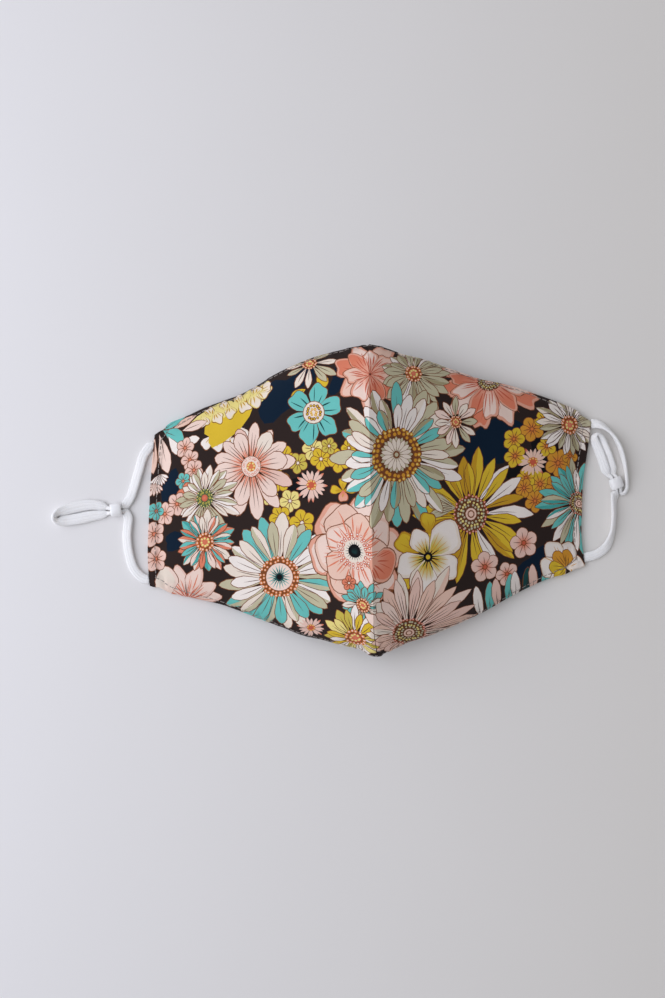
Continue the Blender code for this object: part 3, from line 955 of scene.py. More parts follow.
def drawPrint():  # places and sizes in the photograph's pixels, the lowest flower first
    for px, py, size, tall, turn, ink in (
        (279, 398, 26, 0.7, 40, "navy"), (300, 378, 20, 0.5, 30, "navy"),
        (341, 376, 20, 0.45, 60, "navy"), (172, 488, 16, 0.8, 80, "navy"),
        (176, 541, 13, 0.7, 10, "navy"), (487, 444, 30, 0.7, 10, "navy"),
        (505, 436, 20, 0.9, 0, "navy"), (540, 566, 24, 0.7, 20, "navy"),
        (300, 486, 14, 0.8, 0, "black"), (520, 470, 14, 0.8, 0, "black"),
        (548, 452, 20, 1.1, 0, "black"),
    ):
        blob(px, py, size, tall, turn, ink)

    leaf(318, 372, 18, 13, -65, "mustard", "round", 1)
    leaf(306, 389, 17, 9, 200, "mustard", "round", 1)
    daisy(309.7, 364, 27, 12, ["khaki", "cream", "khaki"], "dotted", 7, "tipped", 1, 1.0, 1,
          (-60, 0.15))
    for px, py, turn in ((211, 436, 235), (219, 437, 262), (229, 435, 285), (240, 427, 300)):
        lobeAt(px, py, 15, turn, "white", "cream", 0.8, 1)
    blob(226, 425, 28, 0.5, 30, "mustard")
    blob(214, 413, 26, 0.34, 26, "paleYellow")
    blob(250, 398, 21, 0.5, 26, "paleYellow")
    for px, py, size, turn in ((202, 415, 14, -75), (214, 411, 16, -60), (228, 405, 16, -70),
                               (240, 399, 18, -60), (252, 393, 19, -75), (256, 390, 18, -30),
                               (258, 392, 16, 25), (254, 396, 15, 70), (240, 404, 14, 100),
                               (226, 411, 14, 105), (212, 417, 13, 110)):
        lobeAt(px, py, size, turn, "cream", "paleYellow", 0.85, 3, "mustardDeep", 0.1)

    for turn, size in ((175, 36), (140, 40), (5, 34), (105, 37), (30, 33), (68, 36)):
        lobeAt(188, 598, size, turn, "shell", "pink", 0.5, 4, "coral", 0.08)
    lobeAt(169, 596, 30, 92, "cream", "shell", 0.9, 0)
    raysAt(188, 598, 3, 17, 18, 0.7, "coralDeep")

    for px, py, size, ink in (
        (284, 457, 12, "mustard"), (298, 463, 11, "olive"), (313, 449, 12, "paleYellow"),
        (321, 459, 12, "mustard"), (339, 460, 13, "mustard"), (279, 481, 12, "mustard"),
        (290, 501, 12, "paleYellow"), (280, 517, 12, "mustard"), (302, 523, 14, "mustard"),
        (329, 446, 9, "olive"), (270, 497, 9, "paleYellow"), (349, 448, 9, "mustard"),
    ):
        blossom(px, py, size, ink)
    for px, py, size, ink in (
        (532, 429, 13, "ochre"), (544, 420, 10, "mustard"), (514, 439, 12, "mustard"),
        (515, 456, 12, "mustard"), (558, 463, 15, "ochre"), (547, 446, 11, "mustard"),
        (540, 484, 15, "mustard"), (526, 478, 11, "mustard"), (555, 487, 12, "ochre"),
        (535, 501, 12, "ochre"), (570, 456, 10, "ochre"), (524, 488, 10, "ochre"),
    ):
        blossom(px, py, size, ink, "orange", "orange")
    star(311.5, 485, 15, "pink", "coral")
    star(533, 462, 14, "peach", "coralDeep")

    leaf(162, 430, 33, 11, 25, "turquoise", "pointed", 1)
    leaf(173, 429, 31, 10, 24, "peach", "pointed", 1)
    leaf(182, 431, 30, 11, 13, "shell", "pointed", 1)
    leaf(162, 430, 32, 17, -22, "turquoise", "tipped", 1)
    leaf(167, 436, 28, 11, -48, "white", "tipped")
    leaf(181, 443, 22, 10, 6, "white", "tipped")
    leaf(159, 434, 43, 17, -69, "shell", "tipped", 1)
    leaf(155, 438, 36, 9, -88, "peach", "tipped", 1)
    for turn in range(-140, -20, 17):
        leaf(160, 474, 13, 4, turn, "white", "tipped")
        leaf(155, 483, 13, 4, turn - 20, "shell", "tipped")
    for px, py, size, ink in ((185, 448, 11, "pink"), (190, 460, 11, "pink"), (194, 470, 11, "pink"),
                              (183, 481, 9, "turquoise"), (188, 495, 13, "coral"),
                              (177, 504, 12, "pink"), (165, 514, 12, "pink"),
                              (156, 511, 10, "turquoise"), (154, 534, 13, "pink"),
                              (156, 559, 13, "pink")):
        blossom(px, py, size, ink, "coral", "peachDeep" if ink == "pink" else None)

    bloom(313.6, 412.4, 31, 6, ["turquoise"], "turquoise", 2, "teal", 20, 1, 1.12, 0.2, 0.05)
    heartAt(313.6, 412.4, 8.5, "golden")
    bloom(489, 382, 55, 11, ["coral", "shell"], "peachDeep", 3, "coralDeep", -5, 2, 1.2, 0.18, 0.06)
    heartAt(489, 382, 13, "speckled")
    bloom(370, 374, 38, 7, ["coral", "peach", "shell"], "peachDeep", 4, "coralDeep", 10, 2, 1.3,
          0.2, 0.07)
    raysAt(370, 374, 1, 14, 13, 0.5, "coralDeep")
    daisy(413.5, 373.4, 40, 13, ["khaki", "white", "cream", "khaki"], "dotted", 9, "tipped", 2, 1.0,
          1, (-40, 0.12), (None, None, "khakiDeep"))
    daisy(569.6, 425, 33, 14, ["white", "khaki", "cream"], "dotted", 9, "tipped", 2, 0.95, 1,
          (180, 0.1), (None, "khakiDeep"), "vein")
    daisy(579, 503.5, 48, 17, ["turquoise", "khaki", "white", "turquoise"], "speckled", 11, "tipped",
          2, 0.95, 1, (-110, 0.12), (None, "turquoiseDeep", None))
    daisy(251, 466.6, 47, 13, ["shell", "shell", "pink"], "rosy", 9, "blunt", 1, 1.06, 2,
          (-60, 0.1), (None,), "line", "peachDeep", 0.05)
    daisy(251, 466.6, 41, 6, ["shell", "cream"], "rosy", 9, "blunt", 1, 0.66, 2, (-60, 0.1),
          (None,), "line", "peachDeep", 0.05)
    raysAt(251, 466.6, 9, 21, 26, 0.6, "coral")
    heartAt(251, 466.6, 10, "rosy")
    daisy(204.6, 498, 35, 14, ["khaki", "cream", "khaki"], "green", 9, "tipped", 2, 0.95, 1,
          (-30, 0.12), (None, "white"))
    daisy(204.8, 542, 33, 13, ["turquoise", "cream", "coral", "shell"], "dotted", 9, "tipped", 2,
          0.95, 1, (0, 0.0), (None, "coral", "turquoiseDeep"))
    daisy(279.4, 577, 64, 17, ["turquoise", "white", "khaki", "cream", "turquoise"], "ringed", 20,
          "blunt", 2, 1.05, 1, (0, 0.0), (None, None, "khaki"))
    daisy(471, 514, 66, 14, ["mustard", "mustard", "white", "mustardDeep", "mustard"], "speckled",
          18, "tipped", 2, 0.74, 1, (-40, 0.06), (None, "mustardDeep", None), "line", None, 0.18)
    for turn in (150, 172, 192):
        leaf(456, 508, 30, 9, turn, "khaki", "blunt", 2)

    for turn in (10, 170, 90):
        lobeAt(343, 491, 14, turn, "mustard", "mustardDeep", 0.6, 1)
    lobeAt(343, 490, 12, 270, "peachDeep", "coral", 0.9, 1)
    bloom(357, 551, 55, 6, ["peach", "shell"], "peachDeep", 6, "coral", 8, 1, 1.5)
    bloom(355.6, 551, 46, 5, ["shell", "peach"], "peach", 6, "coral", 40, 2, 1.35, 0.22)
    raysAt(354.6, 551, 19, 32, 19, 0.8, "coral")
    heartAt(354.6, 551, 16, "eye")
    daisy(396.5, 454.7, 72, 16, ["turquoise", "khaki", "cream", "turquoise", "khaki", "white"],
          "rosette", 26, "blunt", 3, 0.86, 1, (-40, 0.04), (None, None, "khakiDeep", "white"))
    daisy(455.8, 422, 25, 12, ["khaki", "cream", "shell"], "dotted", 6, "tipped", 1, 1.1)

    lobeAt(421, 553, 31, 148, "mustard", "mustardDeep", 0.62, 4)
    lobeAt(430, 535, 23, 98, "mustard", "mustardDeep", 0.7, 3)
    lobeAt(420, 562, 38, 231, "mustard", "mustardDeep", 0.36, 3)
    for turn, size, half in ((118, 30, 0.7), (200, 35, 0.72), (258, 39, 0.8), (330, 36, 0.72),
                             (42, 44, 0.78)):
        lobeAt(428, 557, size, turn, "white", "cream", half, 0)
        centre, scale = clothSpot(428, 557)
        glow = petalPoints(0, size * scale * 0.72, size * scale * 0.5, "blunt")
        lay(turned(glow, math.radians(turn), centre), "olive", "white", centre,
            size * scale * 0.25, size * scale * 0.68)
        for aside in (-0.35, -0.12, 0.12, 0.35):
            stroke(centre, math.radians(turn) + aside, 2, size * scale * 0.5, 0, 0, 0.4, "ochre")
    heartAt(428, 557, 8, "pansy")

    for px, py, size in ((524, 543, 16), (485, 567, 16), (507, 574, 13)):
        blossom(px, py, size, "pink", "coralDeep", "coral")
    for px, turn, ink in ((482, 98, "white"), (490, 90, "turquoise"), (499, 94, "pink"),
                          (508, 86, "turquoise"), (517, 92, "white"), (526, 86, "teal"),
                          (535, 92, "pink"), (544, 84, "turquoise")):
        leaf(px, 623 - (px - 480) * 0.33, 48, 11, turn, ink, "blunt", 1)
    for turn, size in ((20, 24), (75, 28), (130, 31), (185, 30), (235, 24)):
        lobeAt(566, 568, size, turn, "white", "cream", 0.75, 3, "ochre")
    for turn, ink in ((75, "ochre"), (130, "ochre"), (185, "mustard"), (235, "mustard")):
        leaf(566, 568, 20, 15, turn, ink, "blunt", 2)

    daisy(362.8, 605.4, 26, 11, ["turquoise", "khaki", "cream", "turquoise"], "dotted", 7, "tipped",
          2, 0.95)
    daisy(355.3, 638, 35, 12, ["mustard", "olive", "white", "paleYellow"], "dotted", 11, "tipped", 2,
          1.0, 1, (90, 0.1))
    star(311, 628, 13, "pink")
    blossom(349, 583, 8, "coral")
    lobeAt(369, 561, 31, -22, "coral", "peachDeep", 1.15, 7, "coralDeep")
    daisy(409, 633, 64, 19, ["shell", "pink", "cream", "peach"], "speckled", 18, "tipped", 2, 1.05,
          2, (25, 0.3), (None, "peach", None))
    # painted shade: a thin dark line along each dart's seam, standing in for the shadow in its gap
    low, high = edgesAt(np.zeros(1))
    for end, length in ((high[0], -14.0), (low[0], 30.0)):  # the seam line of each dart, a thin dark line of painted shade in the seam's gap
        line = np.array([(-0.2, 0.0), (0.2, 0.0), (0.14, length * 0.7), (0.0, length),
                         (-0.14, length * 0.7)])
        lay(line + (0, end), "vein")


drawPrint()
print("print drawn,", len(shapes), "shapes")


# Cutting the cloth into triangles that follow the print

cutting = {  # in mm of cloth
    "outerGrid": (2.3, 1.15, 0.985, 0.6),  # step, shift of rows, share of the outline, from crease
    "innerGrid": (4.5, 0.0, 0.97, 1.5),
    "edgeStep": 1.3,
    "hemStep": 1.4,  # in steps of the edge
    "hemLines": (0.8, 1.6, 2.5, 3.5, 4.3, 5.0, 6.0),
    "creaseStep": 1.2,
    "creaseEnd": 1.0,
    "besideCrease": (-3.2, -2.2, -1.4, -0.8, -0.35, 0.35, 0.8, 1.4, 2.2, 3.2),
    "liningEnd": 2.5,
    "closeness": 0.004,
    "edgeBack": 0.8,  # from the rim to the cloth that shows which way is outward
    "ringStep": 0.6,  # from one ring of the folded edge to the next, in the threads' map
    "printedRings": 4,
    "liningSize": 0.3,  # of the inner face in the baking map, and how far below the outer one
    "liningBelow": -125,
}


def upright(a, b):  # spots one above another, all at the same a
    return np.stack([np.full(len(b), a), b], axis=1)


def clothOutline(step, inset):
    limits = {side: form["a"][-1] - inset for side, form in forms.items()}
    across = np.arange(-limits[-1] + step, limits[1] - step / 2, step)
    across = np.concatenate([[-limits[-1]], across, [limits[1]]])
    low, high = edgesAt(across)
    low, high = low + inset, high - inset
    right = np.arange(low[-1] + step, high[-1] - step / 2, step)
    left = np.arange(high[0] - step, low[0] + step / 2, -step)
    return np.concatenate(
        [
            np.stack([across, low], axis=1),
            upright(limits[1], right),
            np.stack([across, high], axis=1)[::-1],
            upright(-limits[-1], left),
        ]
    )


def coveredBy(points, later):  # marks points that a later shape hides
    box = later["points"].min(axis=0), later["points"].max(axis=0)
    near = np.nonzero(((points >= box[0]) & (points <= box[1])).all(axis=1))[0]
    return near[inside(points[near], later["points"])] if len(near) else near


def hiddenLines(outline):  # drops lines that later shapes cover, so that no triangle is wasted
    sizes = [len(shape["points"]) for shape in shapes]
    starts = np.concatenate([[0], np.cumsum(sizes)])
    points = np.concatenate([shape["points"] for shape in shapes])
    hidden = ~inside(points, outline)
    for index, shape in enumerate(shapes):
        earlier = points[: starts[index]]
        hidden[coveredBy(earlier, shape)] = True
    kept = []
    for index, size in enumerate(sizes):
        own = np.arange(starts[index], starts[index] + size)
        following = np.roll(own, -1)
        shown = ~(hidden[own] & hidden[following])
        kept.append(np.stack([own[shown], following[shown]], axis=1))
    return points, np.concatenate(kept)


def gridOver(outline, step, shift, share, clear):
    across, up = (np.arange(-reach, reach, step) for reach in np.abs(outline).max(axis=0))
    grid = np.stack(np.meshgrid(across, up), axis=-1).reshape(-1, 2)
    grid[:, 0] += np.where(np.round(grid[:, 1] / step) % 2 == 0, 0, shift)
    return grid[inside(grid, outline * share) & (np.abs(grid[:, 0]) > clear)]


def ringEdges(count):
    return np.stack([np.arange(count), np.roll(np.arange(count), -1)], axis=1)


def lineEdges(first, count):
    index = np.arange(first, first + count)
    return np.stack([index[:-1], index[1:]], axis=1)


def renumbered(used, total):  # new numbers in order for the corners that are used
    numbers = np.full(total, -1)
    numbers[used] = np.arange(len(used))
    return numbers


def triangulate(places, edges, outline, closeness, origins):
    places = [Vector(p) for p in np.concatenate(places).tolist()]
    cut = delaunay_2d_cdt(places, np.concatenate(edges).tolist(), [], 0, closeness, origins)
    spots = np.array([tuple(v) for v in cut[0]])
    faces = np.array(cut[2])
    return spots, faces[inside(spots[faces].mean(axis=1), outline)], cut[3]


def cutCloth():
    edgeStep, edge = cutting["edgeStep"], cloth["edgeRound"] / mm
    outline = clothOutline(edgeStep, edge)
    points, lines = hiddenLines(outline)
    used = np.unique(lines)
    grid = gridOver(outline, *cutting["outerGrid"])
    hems = [clothOutline(edgeStep * cutting["hemStep"], edge + inset)
            for inset in cutting["hemLines"]]
    low, high = edgesAt(np.zeros(1))
    low, high = low[0] + cutting["creaseEnd"], high[0] - cutting["creaseEnd"]
    crease = np.concatenate([np.arange(low, high, cutting["creaseStep"]), [high]])
    beside = [upright(away, crease) for away in cutting["besideCrease"]]
    places = [outline, points[used], upright(0.0, crease), grid] + hems + beside
    edges = [
        ringEdges(len(outline)),
        renumbered(used, len(points))[lines] + len(outline),
        lineEdges(len(outline) + len(used), len(crease)),
    ]
    spots, faces, _ = triangulate(places, edges, outline, cutting["closeness"], False)
    used = np.unique(faces)
    return spots[used], renumbered(used, len(spots))[faces], outline


flat, triangles, clothEdge = cutCloth()
print("cloth cut,", len(triangles), "triangles")


def paintTriangles():  # the ink at each corner, from the uppermost shape over each triangle
    middles = flat[triangles].mean(axis=1)
    top = np.full(len(middles), -1)
    order = np.argsort(middles[:, 0])
    ordered = middles[order]
    for index, shape in enumerate(shapes):
        low, high = shape["points"].min(axis=0), shape["points"].max(axis=0)
        first, last = np.searchsorted(ordered[:, 0], (low[0], high[0]))
        span = slice(first, last)
        near = (ordered[span, 1] >= low[1]) & (ordered[span, 1] <= high[1])
        near = np.nonzero(near)[0] + first
        hit = near[inside(ordered[near], shape["points"])]
        top[order[hit]] = index
    corners = flat[triangles]
    colour = np.empty((*corners.shape[:2], 3))
    colour[:] = printInk["ground"]
    for index in np.unique(top[top >= 0]):
        here = top == index
        shape = shapes[index]
        away = np.linalg.norm(corners[here] - shape["centre"], axis=-1)
        share = smoothStep((away - shape["near"]) / max(shape["far"] - shape["near"], 1e-6))
        colour[here] = shape["ink"] + (shape["deep"] - shape["ink"]) * share[..., None]
    return colour


cornerInk = paintTriangles()
print("cloth painted")


# Relief that is finer than the form: hem, seam line, puckers, the two darts and soft creases

relief = {
    "seamAt": 4.3,
    "seamDepth": 0.32,
    "seamWide": 0.55,
    "pucker": 0.22,
    "puckerPitch": 6.3,
    "puckerWide": 3.2,
    "dartDepth": 0.75,
    "dartWide": 0.8,
    "dartLip": 0.35,  # how far the cloth beside a dart stands up, as a share of its depth
    "noseDart": 12.5,
    "chinDart": 29.0,
    "unevenness": 0.10,
    "edgeClear": 0.2,  # the edge itself stays plain
    "edgeFade": 1.2,
}
# ab of both ends of each soft crease, its half width and its depth, all in mm of cloth
softFolds = [
    (-1.5, 60.0, -1.0, 50.0, 1.1, -0.45),
    (2.0, 66.0, 6.0, 50.0, 1.6, 0.30),
    (-30.0, 62.0, -46.0, 40.0, 2.6, 0.22),
    (-62.0, 52.0, -70.0, 30.0, 3.0, 0.20),
    (38.0, 60.0, 52.0, 36.0, 3.0, 0.22),
    (70.0, 44.0, 84.0, 20.0, 3.4, 0.24),
    (-24.0, -64.0, -34.0, -46.0, 2.4, 0.22),
    (-70.0, -46.0, -80.0, -26.0, 3.0, 0.20),
    (26.0, -62.0, 38.0, -44.0, 2.6, 0.24),
    (78.0, -40.0, 88.0, -16.0, 3.0, 0.20),
    (-100.0, 20.0, -92.0, -6.0, 2.6, 0.18),
    (98.0, 10.0, 90.0, -14.0, 2.6, 0.20),
]


def reliefAt(a, b):
    rim, side = edgeDistance(a, b)
    edge = np.minimum(rim, side)
    along = np.where(rim < side, a, b)
    lift = -relief["seamDepth"] * np.exp(-(((edge - relief["seamAt"]) / relief["seamWide"]) ** 2))
    wave = np.sin(along * 2 * math.pi / relief["puckerPitch"] + 1.3 * np.sin(along * 0.21))
    wave += 0.6 * np.sin(along * 2 * math.pi / (relief["puckerPitch"] * 0.57) + 0.9)
    fading = np.exp(-(((edge - relief["seamAt"]) / relief["puckerWide"]) ** 2))
    lift += relief["pucker"] * wave * fading * (0.6 + 0.4 * np.sin(along * 0.11 + 2))
    low, high = edgesAt(a)
    for reach, length in ((high - b, relief["noseDart"]), (b - low, relief["chinDart"])):
        near = np.sqrt(np.clip(1 - reach / length, 0, 1))
        across = np.abs(a) / relief["dartWide"]
        lift -= relief["dartDepth"] * near * np.exp(-(across**2))
        lift += relief["dartLip"] * relief["dartDepth"] * near * np.exp(-((across - 2.4) ** 2))
    for a0, b0, a1, b1, wide, depth in softFolds:
        start, way = np.array((a0, b0)), np.array((a1 - a0, b1 - b0))
        length = np.linalg.norm(way)
        way = way / length
        t = ((a - a0) * way[0] + (b - b0) * way[1]) / length
        off = ((a - a0) * way[1] - (b - b0) * way[0]) / wide
        ends = smoothStep(t * 2.5 + 0.3) * smoothStep((1 - t) * 2.5 + 0.3)
        lift -= depth * ends * np.exp(-(off**2))
    rolling = np.sin(a * 0.23 + 1.1 * np.sin(b * 0.13))
    lift += relief["unevenness"] * rolling * np.sin(b * 0.19 + 0.7)
    return lift * smoothStep((edge - relief["edgeClear"]) / relief["edgeFade"]) * mm


def dressed(a, b, side):  # places on the cloth with its relief, and the ways that they face
    step = 0.15
    place, normal = onCloth(a, b, side)
    lift = reliefAt(a, b)
    wayA = onCloth(a + step, b, side)[0] - place
    wayB = onCloth(a, b + step, side)[0] - place
    slopeA = (reliefAt(a + step, b) - lift)[:, None]
    slopeB = (reliefAt(a, b + step) - lift)[:, None]
    sizeA = np.maximum((wayA**2).sum(axis=1, keepdims=True), 1e-12)
    sizeB = np.maximum((wayB**2).sum(axis=1, keepdims=True), 1e-12)
    tilted = unit(normal - wayA * slopeA / sizeA - wayB * slopeB / sizeB)
    return place + normal * lift[:, None], tilted


def edgeLoop(triangles):  # the corner numbers round the rim, in order
    pairs = np.concatenate([triangles[:, [0, 1]], triangles[:, [1, 2]], triangles[:, [2, 0]]])
    owner = np.tile(np.arange(len(triangles)), 3)
    known = {(i, j): k for (i, j), k in zip(map(tuple, pairs), owner)}
    following = {i: (j, k) for (i, j), k in known.items() if (j, i) not in known}
    start = next(iter(following))
    loop, owners = [start], []
    while True:
        after, triangle = following[loop[-1]]
        owners.append(triangle)
        if after == start:
            return np.array(loop), np.array(owners)
        loop.append(after)


def outerFace():  # its places, and the ways that its triangles' corners face
    a, b = flat[:, 0].copy(), flat[:, 1].copy()
    a[np.abs(a) < 0.01] = 0
    places = np.empty((len(flat), 3))
    facing = {side: np.zeros((len(flat), 3)) for side in forms}
    for side in forms:
        here = (sideOf(flat[:, 0]) == side) | (a == 0)
        places[here], facing[side][here] = dressed(a[here], b[here], side)
    onLeft = flat[triangles].mean(axis=1)[:, 0] < 0
    return places, np.where(onLeft[:, None, None], facing[-1][triangles], facing[1][triangles])


def foldedEdge(outer, ab):  # rings of places from the outer face round to the inner one
    way = np.roll(ab, -1, axis=0) - np.roll(ab, 1, axis=0)
    outward = unit(np.stack([way[:, 1], -way[:, 0]], axis=1))
    sides = sideOf(ab[:, 0])
    inner = onBothSides(ab, sides, "under")[0]
    back = onBothSides(ab - outward * cutting["edgeBack"], sides)[0]
    away = unit(outer - back)
    middle = (outer + inner) / 2
    half = outer - middle
    rings, normals = [], []
    for turn in np.radians([30, 60, 90, 120, 150]):
        c, s = math.cos(turn), math.sin(turn)
        rings.append(middle + half * c + away * cloth["edgeRound"] * s)
        normals.append(unit(unit(half) * c + away * s))
    return outward, rings, normals


def innerFace(ab):  # in larger triangles, with the numbers of its corners that lie on the rim
    grid = gridOver(clothEdge, *cutting["innerGrid"])
    low, high = edgesAt(np.zeros(1))
    ends = low[0] + cutting["liningEnd"], high[0] - cutting["liningEnd"]
    crease = upright(0.0, np.linspace(*ends, 40))
    edges = [ringEdges(len(ab)), lineEdges(len(ab), len(crease))]
    spots, faces, origins = triangulate([ab, crease, grid], edges, ab, 1e-5, True)
    places, normals = onBothSides(spots, sideOf(spots[:, 0]), "under")
    onRim = [(number, origin) for number, given in enumerate(origins)
             for origin in given if origin < len(ab)]
    return spots, faces, places, -normals, np.array(onRim)


# The corners of both triangles between one ring and the next: the ring, and the step along it
ringCorners = (((0, 0), (1, 0), (1, -1)), ((0, 0), (1, -1), (0, -1)))


def assembleCloth():
    outer, outerNormals = outerFace()
    loop, owners = edgeLoop(triangles)
    print("rim corners", len(loop))
    ab, count = flat[loop], len(loop)
    outward, rings, ringNormals = foldedEdge(outer[loop], ab)
    spots, lining, liningPlaces, liningNormals, onRim = innerFace(ab)
    places = np.concatenate([outer, *rings, liningPlaces])
    starts = len(outer) + np.arange(len(rings) + 1) * count
    liningRim, liningRimNormals = np.full(count, -1), np.empty((count, 3))
    liningRim[onRim[:, 1]] = onRim[:, 0] + starts[-1]
    liningRimNormals[onRim[:, 1]] = liningNormals[onRim[:, 0]]
    corner = (triangles[owners] == loop[:, None]).argmax(axis=1)
    numbers = [loop, *(start + np.arange(count) for start in starts[:-1]), liningRim]
    ways = [outerNormals[owners, corner], *ringNormals, liningRimNormals]
    spotRows = [ab + outward * (level * cutting["ringStep"]) for level in range(len(numbers))]
    plain, rimInk = printInk["lining"], cornerInk[owners, corner]
    faces, normals, colours, maps = [triangles], [outerNormals], [cornerInk], [flat[triangles]]
    for level in range(len(numbers) - 1):
        printed = level < cutting["printedRings"]
        inkRows = [rimInk if printed else np.repeat(plain[None], count, axis=0)] * len(numbers)
        for corners in ringCorners:
            for made, rows in (
                (faces, numbers), (normals, ways), (colours, inkRows), (maps, spotRows)
            ):
                made.append(np.stack([np.roll(rows[level + up], on, 0) for up, on in corners], 1))
    order = lining[:, ::-1]
    faces.append(order + starts[-1])
    normals.append(liningNormals[order])
    colours.append(np.broadcast_to(plain, (*order.shape, 3)))
    bakes = maps + [spots[order] * cutting["liningSize"] + (0, cutting["liningBelow"])]
    maps.append(spots[order])
    return places, *map(np.concatenate, (faces, normals, colours, maps, bakes))


def meshOfCloth():
    places, faces, normals, colours, maps, bakes = assembleCloth()
    places[:, 2] = np.maximum(places[:, 2], cloth["clear"])
    mesh = bpy.data.meshes.new("maskCloth")
    mesh.vertices.add(len(places))
    mesh.vertices.foreach_set("co", places.ravel())
    mesh.loops.add(faces.size)
    mesh.loops.foreach_set("vertex_index", faces.ravel().astype(np.int32))
    mesh.polygons.add(len(faces))
    mesh.polygons.foreach_set("loop_start", np.arange(0, faces.size, 3, dtype=np.int32))
    mesh.update(calc_edges=True)
    mesh.shade_smooth()
    ink = mesh.color_attributes.new("ink", "FLOAT_COLOR", "CORNER")
    rgba = np.ones((faces.size, 4))
    rgba[:, :3] = colours.reshape(-1, 3)
    ink.data.foreach_set("color", rgba.ravel())
    cut = mesh.uv_layers.new(name="cloth")
    cut.data.foreach_set("uv", (maps * mm).ravel())
    laid = bakes.reshape(-1, 2)
    low, high = laid.min(axis=0), laid.max(axis=0)
    scale = 0.98 / (high - low).max()
    bake = mesh.uv_layers.new(name="OFBake")
    bake.data.foreach_set("uv", ((laid - low) * scale + 0.01).ravel())
    mesh.materials.append(printedCloth)
    mesh.normals_split_custom_set(normals.reshape(-1, 3).tolist())
    print("cloth mesh,", len(faces), "triangles, problems:", mesh.validate(verbose=False))
    return linked("maskCloth", mesh)


maskCloth = meshOfCloth()
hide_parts("mask_shell")
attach(maskCloth, "root")


# Seam stitches, set along lines on the cloth by Geometry Nodes

stitch = {"length": 0.0021, "pitch": 0.0029, "thread": 0.00042, "arch": 0.00016,
          "at": 4.3, "step": 0.8}  # the last two in mm of cloth


def buildStitchTree():
    tree = bpy.data.node_groups.new("seamStitches", "GeometryNodeTree")
    face = tree.interface
    face.new_socket(name="Line", in_out="INPUT", socket_type="NodeSocketGeometry")
    for label in ("Pitch", "Length", "Thread", "Arch"):
        face.new_socket(name=label, in_out="INPUT", socket_type="NodeSocketFloat")
    face.new_socket(name="Thread material", in_out="INPUT", socket_type="NodeSocketMaterial")
    face.new_socket(name="Stitches", in_out="OUTPUT", socket_type="NodeSocketGeometry")
    given, made = tree.nodes.new("NodeGroupInput").outputs, tree.nodes.new("NodeGroupOutput")

    def add(kind, values, **settings):
        return addNode(tree, kind, values, **settings)[0]

    half = mathNode(tree, "MULTIPLY", given["Length"], 0.5)
    ends = (("Start", "Z", mathNode(tree, "MULTIPLY", half, -1.0)), ("Middle", "X", given["Arch"]),
            ("End", "Z", half))
    bow = {label: add("ShaderNodeCombineXYZ", {axis: reach}) for label, axis, reach in ends}
    bow = add("GeometryNodeCurveQuadraticBezier", {"Resolution": 6, **bow})
    radius = mathNode(tree, "MULTIPLY", given["Thread"], 0.5)
    girth = add("GeometryNodeCurvePrimitiveCircle", {"Resolution": 7, "Radius": radius})
    tube = {"Curve": bow, "Profile Curve": girth, "Fill Caps": True}
    seam = add("GeometryNodeMeshToCurve", {"Mesh": given["Line"]})
    seam = {"Curve": seam, "Length": given["Pitch"]}
    facing = add("GeometryNodeInputNamedAttribute", {"Name": "facing"}, data_type="FLOAT_VECTOR")
    align = "FunctionNodeAlignRotationToVector"
    along = add(align, {"Vector": add("GeometryNodeInputTangent", {})}, axis="Z")
    turn = add(align, {"Rotation": along, "Vector": facing}, axis="X", pivot_axis="Z")
    placed = add("GeometryNodeInstanceOnPoints", {
        "Points": add("GeometryNodeResampleCurve", seam, mode="LENGTH"),
        "Instance": add("GeometryNodeCurveToMesh", tube),
        "Rotation": turn,
    })
    real = add("GeometryNodeRealizeInstances", {0: placed})
    paint = {"Geometry": real, "Material": given["Thread material"]}
    fill(tree, made, {"Stitches": add("GeometryNodeSetMaterial", paint)})
    return tree


def stitchLine():  # lines on the cloth, just inside its edge, with the way the cloth faces
    at = stitch["at"]
    limits = {side: form["a"][-1] - at for side, form in forms.items()}
    across = np.arange(-limits[-1] + 0.5, limits[1] - 0.5, stitch["step"])
    low, high = edgesAt(across)
    inset = at / cloth["rimSlant"]
    lines = [np.stack([across, up], axis=1) for up in (low + inset, high - inset)]
    for side, limit in limits.items():
        low, high = edgesAt(np.array([side * limit]))
        up = np.arange(low[0] + at + 1, high[0] - at - 1, stitch["step"])
        lines.append(upright(side * limit, up))
    places, edges, facing = [], [], []
    for line, layer in [(line, layer) for layer in ("over", "under") for line in lines]:
        first = sum(len(p) for p in places)
        place, outward = onBothSides(line, sideOf(line[:, 0]), layer)
        if layer == "over":
            place = place + outward * reliefAt(line[:, 0], line[:, 1])[:, None]
        else:
            outward = -outward
        places.append(place + outward * stitch["thread"] * 0.2)
        facing.append(outward)
        edges += lineEdges(first, len(line)).tolist()
    return np.concatenate(places), edges, np.concatenate(facing)


def addStitches():
    places, edges, facing = stitchLine()
    mesh = bpy.data.meshes.new("seamLines")
    mesh.from_pydata([tuple(p) for p in places], edges, [])
    attribute = mesh.attributes.new("facing", "FLOAT_VECTOR", "POINT")
    attribute.data.foreach_set("vector", facing.ravel())
    guide = linked("seamLines", mesh)
    modifier = guide.modifiers.new("stitches", "NODES")
    modifier.node_group = buildStitchTree()
    values = {label.title(): stitch[label] for label in ("pitch", "length", "thread", "arch")}
    values["Thread material"] = seamThread
    for item in modifier.node_group.interface.items_tree:
        if item.in_out == "INPUT" and item.name in values:
            modifier[item.identifier] = values[item.name]
    graph = bpy.context.evaluated_depsgraph_get()
    made = bpy.data.meshes.new_from_object(guide.evaluated_get(graph))
    bpy.data.objects.remove(guide, do_unlink=True)
    made.shade_smooth()
    piece = linked("seamStitches", made)
    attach(piece, "root")
    print("stitches,", len(made.polygons), "faces")
    return piece


seamStitches = addStitches()


# Ear loops: flat knitted elastic, pinched where it passes through its stopper

